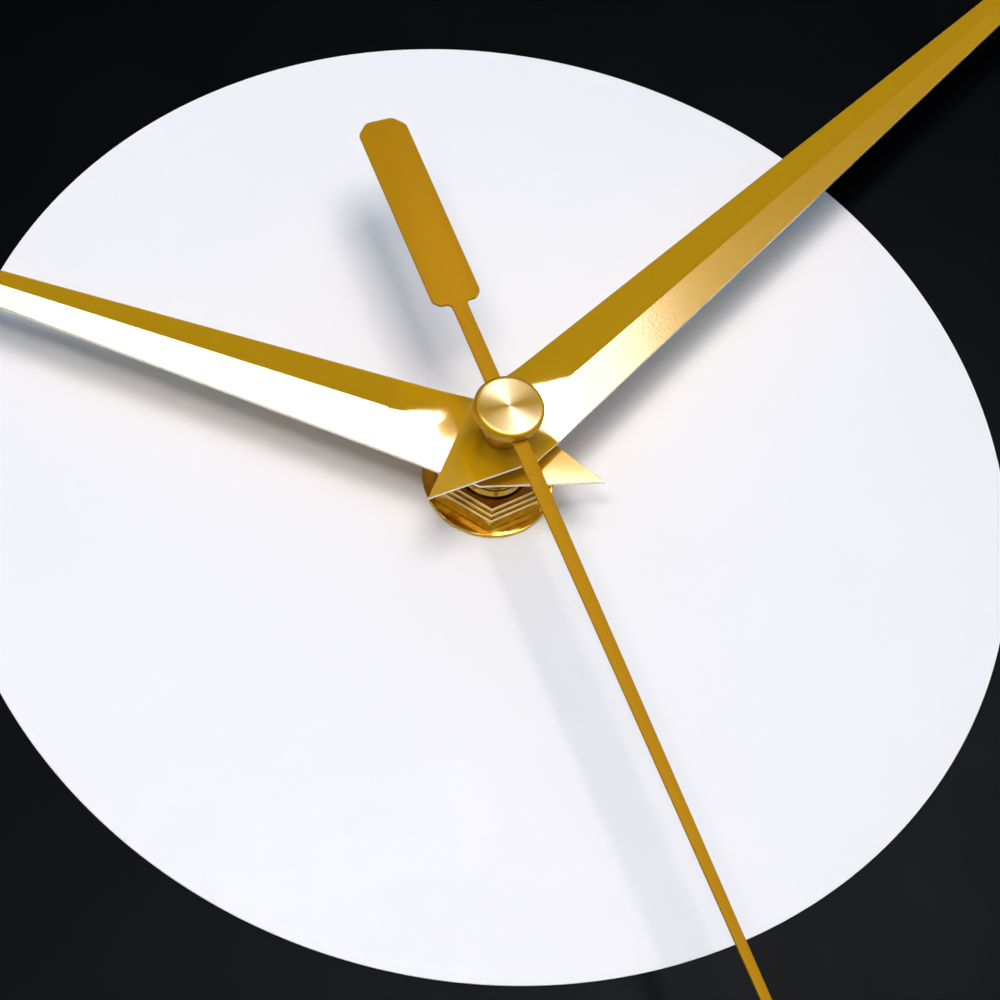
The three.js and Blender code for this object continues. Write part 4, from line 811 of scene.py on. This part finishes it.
def fold_span(size, share):
    """Where the fold starts and how long it runs, at a share of the way from ridge to edge."""
    start = FOLD_START - (FOLD_START - FOLD_EDGE_START) * share
    run = FOLD_RUN - (FOLD_RUN - FOLD_EDGE_RUN) * share
    longer = run * (size["fold_stretch"] - 1)
    return start - longer / 2, run + longer


def ridge_place(size, along):
    """How far the ridge runs beside the middle of the blade."""
    return size["ridge"] * half_width(size, along) / size["half"]


def fold_place(size, share, stage, side):
    """A place on the line where the fold has come to one stage of its run."""
    start, run = fold_span(size, share)
    along = start + stage * run
    ridge = ridge_place(size, along)
    return along, ridge + side * share * (half_width(size, along) - side * ridge)


def surface_rise(size, along, across):
    """How far a place on the hand stands above the plane of its root."""
    half = half_width(size, along)
    ridge = ridge_place(size, along)
    side = 1 if across > ridge else -1
    share = min(1.0, abs(across - ridge) / (half - side * ridge))
    start, run = fold_span(size, share)
    folded = soft_ramp((along - start) / run) if along > 0 else 0.0
    scale = half / half_width(size, FOLD_START + FOLD_RUN)
    fold = (FOLD_RISE - (FOLD_RISE + FOLD_DROP) * share) * scale * folded
    shift = min(1.0, max(0.0, (along - size["lean_from"]) / (size["lean_to"] - size["lean_from"])))
    smooth = shift * shift * (3 - 2 * shift)
    lean = size["tail_lean"] + (size["root_lean"] - size["tail_lean"]) * smooth
    low = across * size["down"]
    if not size["lean_both_sides"]:
        low = LEAN_CREASE * math.log1p(math.exp(low / LEAN_CREASE))
    return fold - lean * low * (1 - folded)


def divided(one, other, step):
    """Points from one place up to another, without the last."""
    count = max(1, round(math.dist(one, other) / step))
    return [
        (one[0] + (other[0] - one[0]) * index / count, one[1] + (other[1] - one[1]) * index / count)
        for index in range(count)
    ]


def hand_outline(size):
    """The kite round a hand, with a point wherever a line of the fold ends on its blade's edges."""
    corners = [(-size["tail"], 0.0), (size["shoulder"], -size["half"]),
               (size["length"], -size["tip"]), (size["length"], size["tip"]),
               (size["shoulder"], size["half"])]
    ends = [fold_place(size, 1.0, stage, 1)[0] for stage in FOLD_STAGES]
    outline = []
    for index, corner in enumerate(corners):
        points = divided(corner, corners[(index + 1) % len(corners)], OUTLINE_STEP)
        if index in (1, 3):
            side = index - 2
            free = [
                spot for spot in points[1:]
                if all(abs(spot[0] - end) > NEAREST_FOLD_END for end in ends)
            ]
            points = points[:1] + free + [(end, side * half_width(size, end)) for end in ends]
            points.sort(reverse=side > 0)
        outline += points
    return outline


def loose_spots(size):
    """Places between the lines, on the root and on both sides of the ridge."""
    spots = []
    for along in ROOT_SPOTS:
        room = size["half"] * min(1.0, (size["tail"] + along) / size["tail"])
        for step in range(-5, 6):
            across = step * ROOT_SPOT_STEP
            fold = fold_span(size, abs(across) / size["half"])[0]
            if abs(across) < room - CLEAR_OF_EDGE and along < fold - CLEAR_OF_FOLD:
                spots.append((float(along), across))
    for along in range(BLADE_SPOT_START, int(size["length"]) - 2, BLADE_SPOT_STEP):
        ridge = ridge_place(size, along)
        for side in (-1, 1):
            room = half_width(size, along) - side * ridge
            for share in BLADE_SPOT_SHARES:
                spots.append((float(along), ridge + side * room * share))
    return spots


def hand_sheet(size):
    """The hand laid flat: places, and faces that follow its outline, bore, ridge and fold."""
    spots = []
    edges = []

    def add_line(points, closed=False):
        first = len(spots)
        spots.extend(points)
        edges.extend((first + index, first + index + 1) for index in range(len(points) - 1))
        if closed:
            edges.append((len(spots) - 1, first))

    add_line(hand_outline(size), closed=True)
    outline = list(range(len(spots)))
    add_line([
        (size["hole"] * math.cos(2 * math.pi * step / HOLE_STEPS),
         size["hole"] * math.sin(2 * math.pi * step / HOLE_STEPS))
        for step in range(HOLE_STEPS)
    ], closed=True)
    ridge_start, ridge_end = (
        (along, ridge_place(size, along)) for along in (FOLD_START - RIDGE_LEAD, size["length"] - 0.5))
    add_line(divided(ridge_start, ridge_end, RIDGE_STEP))
    for side in (-1, 1):
        for stage in FOLD_STAGES:
            add_line([fold_place(size, share / FOLD_SLICES, stage, side)
                      for share in range(FOLD_SLICES + 1)])
    spots.extend(loose_spots(size))
    flat, _, faces, _, _, _ = delaunay_2d_cdt([Vector(spot) for spot in spots], edges, [outline], 1, 2e-3)
    inside = size["hole"] * 0.998
    kept = []
    for face in faces:
        middle_x = sum(flat[index][0] for index in face) / len(face)
        middle_y = sum(flat[index][1] for index in face) / len(face)
        if math.hypot(middle_x, middle_y) >= inside:
            kept.append(face)
    return flat, kept


def folded_hand(name, size, front, clockwise, gold):
    """A kite-shaped hand pressed from sheet: pointed tail, flat root and a ridge along its blade."""
    flat, faces = hand_sheet(size)
    form = bmesh.new()
    tops, lows = [], []
    for spot in flat:
        x, up = turn(spot[0], spot[1], clockwise)
        rise = surface_rise(size, spot[0], spot[1])
        tops.append(form.verts.new(point(x, up, front + rise)))
        lows.append(form.verts.new(point(x, up, front + rise - HAND_SHEET)))
    uses = {}
    for face in faces:
        form.faces.new([tops[index] for index in face])
        form.faces.new([lows[index] for index in reversed(face)])
        for index, corner in enumerate(face):
            pair = tuple(sorted((corner, face[(index + 1) % len(face)])))
            uses[pair] = uses.get(pair, 0) + 1
    for (one, other), count in uses.items():
        if count == 1:
            side = form.faces.new([tops[one], tops[other], lows[other], lows[one]])
            side.material_index = 1
    bmesh.ops.delete(form, geom=[vert for vert in form.verts if not vert.link_faces], context="VERTS")
    bmesh.ops.remove_doubles(form, verts=form.verts, dist=0.1 * MM)
    ease_edges(form, HAND_EDGE_EASE)
    return as_piece(name, form, finishes[gold], finishes["edge"], sharp=13)


def pressed_hand(body, size, clockwise):
    """The hour or minute hand, on the body and node of its name."""
    node = body + "_hand"
    _, highest = depths(node)
    made = folded_hand(node + "_pressed", size, highest - FOLD_RISE, clockwise, body + "_gold")
    settle(made, body, "gold_hands", node)


def seconds_hand():
    back, front = depths("seconds_hand")
    outline = SECONDS_OUTLINE + tuple((along, -across) for along, across in reversed(SECONDS_OUTLINE))
    rounded = eased(outline, SECONDS_CORNER)
    form = slab([turn(along, across, SECONDS_ANGLE) for along, across in rounded], back, front)
    ease_edges(form, SECONDS_EDGE_EASE)
    put("seconds_hand_stamped", form, "painted", "seconds", "gold_fittings", "seconds_hand")


def minute_nut():
    """The collar that holds the minute hand: it widens to the front."""
    back, front = depths("minute_nut")
    profile = eased([
        (MINUTE_NUT_BORE, back), (MINUTE_NUT_FOOT, back), (MINUTE_NUT_RADIUS, front - 0.3),
        (MINUTE_NUT_RADIUS, front), (MINUTE_NUT_BORE, front)], 0.2, 4)
    form = revolved(profile, SMALL_SEGMENTS, ring=True)
    put("minute_nut_turned", form, "turned", "minute", "gold_fittings", "minute_nut")


def seconds_hub():
    form = flat_ring("seconds_hub", HUB_BORE, HUB_RADIUS, HUB_EASE, HUB_SEGMENTS, steps=2)
    put("seconds_hub_turned", form, "plated", "seconds", "gold_fittings", "seconds_hub")


def seconds_cap():
    """The turned cap, with a narrow rounded lip round its spun face."""
    back, front = depths("seconds_cap")
    face_radius = CAP_RADIUS - CAP_LIP * 1.5
    profile = [(0.0, back)]
    profile += eased([
        (CAP_RADIUS - 0.4, back), (CAP_RADIUS - 0.25, back), (CAP_RADIUS, back + 0.25),
        (CAP_RADIUS, front - CAP_LIP * 0.62), (CAP_RADIUS - CAP_LIP * 0.38, front - 0.06),
        (CAP_RADIUS - CAP_LIP, front), (face_radius, front),
    ], 0.2, 4, closed=False)
    for ring in range(CAP_RINGS - 1, 0, -1):
        profile.append((face_radius * ring / CAP_RINGS, front))
    profile.append((0.0, front))
    form = revolved(profile, FITTING_SEGMENTS)
    made = as_piece("seconds_cap_spun", form, finishes["turned"], finishes["spun"], sharp=35)
    for face in made.data.polygons:
        if face.center.y < -(front - 0.02) * MM:
            face.material_index = 1
    settle(made, "seconds", "gold_fittings", "seconds_cap")


dial_board()
centre_disc()
washer()
nut()
bush()
gasket()
pressed_hand("hour", HOUR_HAND, HOUR_ANGLE)
pressed_hand("minute", MINUTE_HAND, MINUTE_ANGLE)
seconds_hand()
minute_nut()
seconds_hub()
seconds_cap()


# Back


def softened(node, name, width, finish, chosen, keep=None):
    """A merged copy of a CAD part with some edges rounded, cut off behind the depth keep."""
    source = frame["nodes"][node]
    form = bmesh.new()
    form.from_mesh(source.data)
    form.transform(source.matrix_world)
    bmesh.ops.remove_doubles(form, verts=form.verts, dist=1e-6)
    if keep is not None:
        whole = list(form.verts) + list(form.edges) + list(form.faces)
        bmesh.ops.bisect_plane(
            form, geom=whole, dist=1e-7, plane_co=point(0, 0, keep), plane_no=(0, 1, 0),
            clear_outer=True)
        bmesh.ops.holes_fill(form, edges=[edge for edge in form.edges if edge.is_boundary])
    bmesh.ops.dissolve_limit(
        form, angle_limit=math.radians(0.6), verts=form.verts, edges=form.edges, delimit={"NORMAL"})
    picked = [
        edge for edge in form.edges
        if len(edge.link_faces) == 2 and edge.is_convex
        and edge.calc_face_angle(0) > math.radians(40) and chosen(edge)
    ]
    round_edges(form, picked, width, 3)
    made = as_piece(name, form, finishes[finish], sharp=32, outward=False)
    weighted = made.modifiers.new("weighted", "WEIGHTED_NORMAL")
    weighted.keep_sharp = True
    return made_plain(made)


def rim_of(node, *faces):
    """Picks a part's edges that lie in its back or front plane."""
    back, front = depths(node)
    planes = [-(back if face == "back" else front) * MM for face in faces]

    def chosen(edge):
        return any(all(abs(vert.co.y - plane) < 2e-6 for vert in edge.verts) for plane in planes)

    return chosen


def anywhere(edge):
    return True


def nowhere(edge):
    return False


def lying_axis():
    """The battery's left end, and the height and depth of its axis."""
    low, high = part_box("battery")
    return low.x / MM, (low.z + high.z) / 2 / MM, -(low.y + high.y) / 2 / MM


def negative_spring():
    """The cone spring, wound smooth in its part's own box."""
    low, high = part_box("negative_spring")
    length = (high.x - low.x) / MM - SPRING_WIRE
    made = coiled(
        "spring_wound", (SPRING_BASE, SPRING_TOP), length, SPRING_TURNS, SPRING_WIRE / 2, 12, "spring")
    laid = Matrix(((0, 0, 1), (0, -1, 0), (1, 0, 0))).to_4x4()
    _, up, depth = lying_axis()
    start = point(low.x / MM + SPRING_WIRE / 2, up, depth)
    made.data.transform(Matrix.Translation(start) @ laid)
    settle(made, BODY, "spring_steel", "negative_spring")


def laid_over(form):
    """Turns a form made round the depth axis so that it lies along the battery."""
    left, up, depth = lying_axis()
    turned = Matrix(((0, -1, 0), (1, 0, 0), (0, 0, 1))).to_4x4()
    form.transform(Matrix.Translation(point(left, up, depth)) @ turned)
    return form


def battery():
    """A steel can with a bare terminal at each end, in a sleeve that is rolled over its rims."""
    low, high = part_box("battery")
    radius = (high.z - low.z) / 2 / MM
    length = (high.x - low.x) / MM
    shoulder = length - NUB_LENGTH
    can = eased([
        (radius - 0.12, 0.35), (radius - 0.12, shoulder - 0.25), (NUB_RADIUS, shoulder - 0.25),
        (NUB_RADIUS, length), (0.001, length)], 0.3, 4, closed=False)
    can = [(0.0, 0.0), (radius - 1.9, 0.0), (radius - 1.6, 0.25)] + can[:-1] + [(0.0, length)]
    form = laid_over(revolved(can, SMALL_SEGMENTS))
    put("battery_can", form, "spring", "cell", "battery_wrap", "battery")
    rolled = radius - 1.4
    inner = radius - WRAP_THICKNESS
    sleeve = eased([
        (rolled, 0.0), (radius, 0.0), (radius, shoulder), (rolled, shoulder),
        (rolled, shoulder - WRAP_THICKNESS), (inner, shoulder - WRAP_THICKNESS),
        (inner, WRAP_THICKNESS), (rolled, WRAP_THICKNESS)], 0.5, 5)
    form = laid_over(revolved(sleeve, FITTING_SEGMENTS, ring=True))
    put("battery_sleeve", form, "wrap", "cell", "battery_wrap")


def round_row(name, count, radius, rib_radius, rib_height, finish):
    """Upright ribs in a ring, made by Geometry Nodes: one rib repeated round a circle."""
    tree, sockets, given = sized_tree(name, (
        ("Count", "Int"), ("Radius", "Float"), ("Rib Radius", "Float"), ("Rib Height", "Float")))
    circle = tree.nodes.new("GeometryNodeMeshCircle")
    rib = tree.nodes.new("GeometryNodeMeshCylinder")
    rib.inputs["Vertices"].default_value = 16
    spread = tree.nodes.new("GeometryNodeInstanceOnPoints")
    linked_nodes(
        tree, (given["Count"], circle.inputs["Vertices"]),
        (given["Radius"], circle.inputs["Radius"]), (given["Rib Radius"], rib.inputs["Radius"]),
        (given["Rib Height"], rib.inputs["Depth"]),
        (circle.outputs["Mesh"], spread.inputs["Points"]),
        (rib.outputs["Mesh"], spread.inputs["Instance"]))
    values = {
        "Count": count, "Radius": radius * MM, "Rib Radius": rib_radius * MM,
        "Rib Height": rib_height * MM, "Finish": finishes[finish],
    }
    return grown(name, tree, sockets, given, spread.outputs["Instances"], values, 40)


def setting_knob():
    """The knob: a dished, ribbed head on the stem and pinion that its part already has."""
    back, _ = depths("setting_knob")
    at = middle("setting_knob")
    front = back + KNOB_DEPTH
    core = KNOB_RADIUS - KNOB_FLUTE_DEPTH
    stem = softened("setting_knob", "knob_stem", 0.05, "white", nowhere, keep=front - 0.2)
    settle(stem, "knob", "white_plastic", "setting_knob")
    profile = eased([
        (0.001, back + KNOB_DISH_DEPTH), (KNOB_DISH_RADIUS, back + KNOB_DISH_DEPTH),
        (KNOB_DISH_RADIUS, back), (core, back), (core, front), (0.001, front)], 0.35, 4, closed=False)
    profile = [(0.0, back + KNOB_DISH_DEPTH)] + profile[1:-1] + [(0.0, front)]
    form = revolved(profile, SMALL_SEGMENTS, at=at)
    put("knob_head", form, "white", "knob", "white_plastic")
    height = KNOB_DEPTH - 0.8
    ribs = round_row(
        "knob_ribs", KNOB_FLUTES, KNOB_RADIUS - KNOB_RIB_RADIUS, KNOB_RIB_RADIUS, height, "white")
    ribs.data.transform(Matrix.Translation(point(*at, back + KNOB_DEPTH / 2)) @ FACING_OUT)
    settle(ribs, "knob", "white_plastic")


# Node, piece, width of its rounded edges, finish, slot, and which edges are rounded
SOFTENED = (
    ("movement_case", "case_moulded", 0.35, "case", "black_plastic",
     rim_of("movement_case", "back", "front")),
    ("back_cover", "cover_moulded", 0.25, "case", "black_plastic", rim_of("back_cover", "back")),
    ("hanger_bracket", "bracket_pressed", 0.16, "zinc", "zinc_steel", anywhere),
    ("positive_contact", "contact_stamped", 0.08, "spring", "spring_steel", anywhere),
)
for node, name, width, finish, slot, chosen in SOFTENED:
    settle(softened(node, name, width, finish, chosen), BODY, slot, node)
negative_spring()
battery()
setting_knob()


# Nodes that keep their own shape, by the finish that they get

KEPT = {
    "grey": ("middle_plate",),
    "board": ("circuit_board",),
    "resin": ("timing_chip",),
    "silicon": ("stator", "coil_core"),
    "copper": ("coil_winding",),
    "zinc": ("stator_screw_left", "stator_screw_right"),
    "magnet": ("rotor_magnet",),
    "spring": ("quartz_crystal", "seconds_arbor"),
    "plated": ("cannon_pinion", "hour_wheel"),
    "white": (
        "coil_bobbin", "rotor_pinion", "step_wheel", "third_wheel", "seconds_wheel",
        "centre_wheel", "motion_wheel"),
}
for finish, nodes in KEPT.items():
    for node in nodes:
        mesh = frame["nodes"][node].data
        mesh.materials.clear()
        mesh.materials.append(finishes[finish])


# Studio


def direction(azimuth, elevation):
    """A unit vector out from the clock: azimuth from -Y towards +X, elevation above the horizon."""
    a, e = math.radians(azimuth), math.radians(elevation)
    return Vector((math.sin(a) * math.cos(e), -math.cos(a) * math.cos(e), math.sin(e)))


def soft_light(name, at, span, power, colour, distance=1.2, seen_in="all"):
    """A lamp at an azimuth and elevation, as wide and high in degrees as the clock sees it."""
    width, height = span
    lamp = bpy.data.lights.new(name, "AREA")
    lamp.shape = "RECTANGLE"
    lamp.size = 2 * distance * math.tan(math.radians(width / 2))
    lamp.size_y = 2 * distance * math.tan(math.radians(height / 2))
    lamp.energy = power
    lamp.color = colour
    made = linked(name, lamp)
    out = direction(*at)
    made.location = out * distance
    made.rotation_euler = out.to_track_quat("Z", "Y").to_euler()
    made.visible_camera = False
    made.visible_diffuse = seen_in != "gloss"
    made.visible_glossy = seen_in != "matt"


def seen_by(tree, *rays):
    """1 for a ray of any of the kinds that are named, 0 for the others."""
    path = tree.nodes.new("ShaderNodeLightPath")
    seen = path.outputs[rays[0]]
    for ray in rays[1:]:
        more = tree.nodes.new("ShaderNodeMath")
        more.operation = "MAXIMUM"
        tree.links.new(seen, more.inputs[0])
        tree.links.new(path.outputs[ray], more.inputs[1])
        seen = more.outputs[0]
    return seen


def world():
    """A pale backdrop, reflections that darken overhead, and a dim blue fill."""
    made = bpy.data.worlds.new("studio")
    bpy.context.scene.world = made
    made.use_nodes = True
    tree = made.node_tree
    tree.nodes.clear()
    out = tree.nodes.new("ShaderNodeOutputWorld")
    place = tree.nodes.new("ShaderNodeTexCoord")
    split = tree.nodes.new("ShaderNodeSeparateXYZ")
    ramp = tree.nodes.new("ShaderNodeValToRGB")
    ramp.color_ramp.interpolation = "EASE"
    low, high = ramp.color_ramp.elements
    low.position, low.color = 0.165, BACKDROP_COLOUR
    high.position, high.color = 0.235, OVERHEAD_COLOUR
    mirrored = tree.nodes.new("ShaderNodeBackground")
    backdrop = tree.nodes.new("ShaderNodeBackground")
    backdrop.inputs["Color"].default_value = BACKDROP_COLOUR
    fill = tree.nodes.new("ShaderNodeBackground")
    fill.inputs["Color"].default_value = FILL_COLOUR
    glossy_or_fill = tree.nodes.new("ShaderNodeMixShader")
    any_ray = tree.nodes.new("ShaderNodeMixShader")
    linked_nodes(
        tree, (place.outputs["Generated"], split.inputs[0]), (split.outputs["Z"], ramp.inputs["Fac"]),
        (ramp.outputs["Color"], mirrored.inputs["Color"]),
        (seen_by(tree, "Is Glossy Ray"), glossy_or_fill.inputs["Fac"]),
        (fill.outputs[0], glossy_or_fill.inputs[1]), (mirrored.outputs[0], glossy_or_fill.inputs[2]),
        (seen_by(tree, "Is Camera Ray", "Is Transmission Ray"), any_ray.inputs["Fac"]),
        (glossy_or_fill.outputs[0], any_ray.inputs[1]), (backdrop.outputs[0], any_ray.inputs[2]),
        (any_ray.outputs[0], out.inputs["Surface"]))


def floor():
    """A pale floor just under the clock."""
    lowest = cad_box[0].z - FLOOR_GAP
    mesh = bpy.data.meshes.new("floor")
    corners = ((-1, -1), (1, -1), (1, 1), (-1, 1))
    mesh.from_pydata(
        [(x * FLOOR_REACH, y * FLOOR_REACH, lowest) for x, y in corners], [], [(0, 1, 2, 3)])
    made = linked("floor", mesh)
    material = bpy.data.materials.new("pale_floor")
    material.use_nodes = True
    tree = material.node_tree
    shader = tree.nodes["Principled BSDF"]
    shader.inputs["Base Color"].default_value = FLOOR_COLOUR
    shader.inputs["Roughness"].default_value = 0.8
    shader.inputs["Specular IOR Level"].default_value = 0.1
    glow = tree.nodes.new("ShaderNodeEmission")
    glow.inputs["Color"].default_value = BACKDROP_COLOUR
    share = tree.nodes.new("ShaderNodeMath")
    share.operation = "MULTIPLY"
    share.inputs[1].default_value = FLOOR_GLOW
    both = tree.nodes.new("ShaderNodeAddShader")
    linked_nodes(
        tree, (seen_by(tree, "Is Camera Ray", "Is Glossy Ray", "Is Transmission Ray"), share.inputs[0]),
        (share.outputs[0], glow.inputs["Strength"]), (shader.outputs[0], both.inputs[0]),
        (glow.outputs[0], both.inputs[1]),
        (both.outputs[0], tree.nodes["Material Output"].inputs["Surface"]))
    mesh.materials.append(material)


def camera():
    """The photograph's view: close to the middle, from below and to the left."""
    lens = bpy.data.cameras.new("camera")
    lens.lens = CAMERA_LENS
    lens.sensor_width = CAMERA_SENSOR
    lens.clip_start = 0.01
    lens.clip_end = 60
    made = linked("camera", lens)
    backwards = [-value for value in CAMERA_FORWARD]
    rows = list(zip(CAMERA_RIGHT, CAMERA_UP, backwards))
    made.rotation_mode = "QUATERNION"
    made.rotation_quaternion = Matrix(rows).to_quaternion()
    made.location = CAMERA_PLACE
    bpy.context.scene.camera = made


world()
floor()
camera()

# Two soft lights share the shadows, and panels that only gloss shows stand nearer
soft_light("front_light", (1.5, 4), (24, 28), 8.8, WARM_LIGHT, seen_in="matt")
soft_light("low_light", (-20, -9), (14, 14), 8.0, WARM_LIGHT, seen_in="matt")
soft_light("front_panel", (1.5, 4), (31, 36), 6.8, PANEL_LIGHT, distance=1.0, seen_in="gloss")
soft_light("side_panel", (23.3, 11), (12.6, 24), 1.5, PANEL_LIGHT, distance=1.0, seen_in="gloss")
soft_light("narrow_panel", (19.9, 15.5), (7, 12), 1.7, PANEL_LIGHT, distance=0.9, seen_in="gloss")
soft_light("left_light", (-85, 20), (40, 40), 1.5, PLAIN_LIGHT, distance=1.6)
soft_light("right_light", (110, 30), (40, 40), 2, PLAIN_LIGHT, distance=1.6)
soft_light("back_light", (180, 35), (50, 40), 24, WARM_BACK_LIGHT, distance=1.6)

bpy.context.scene.view_settings.view_transform = "Standard"
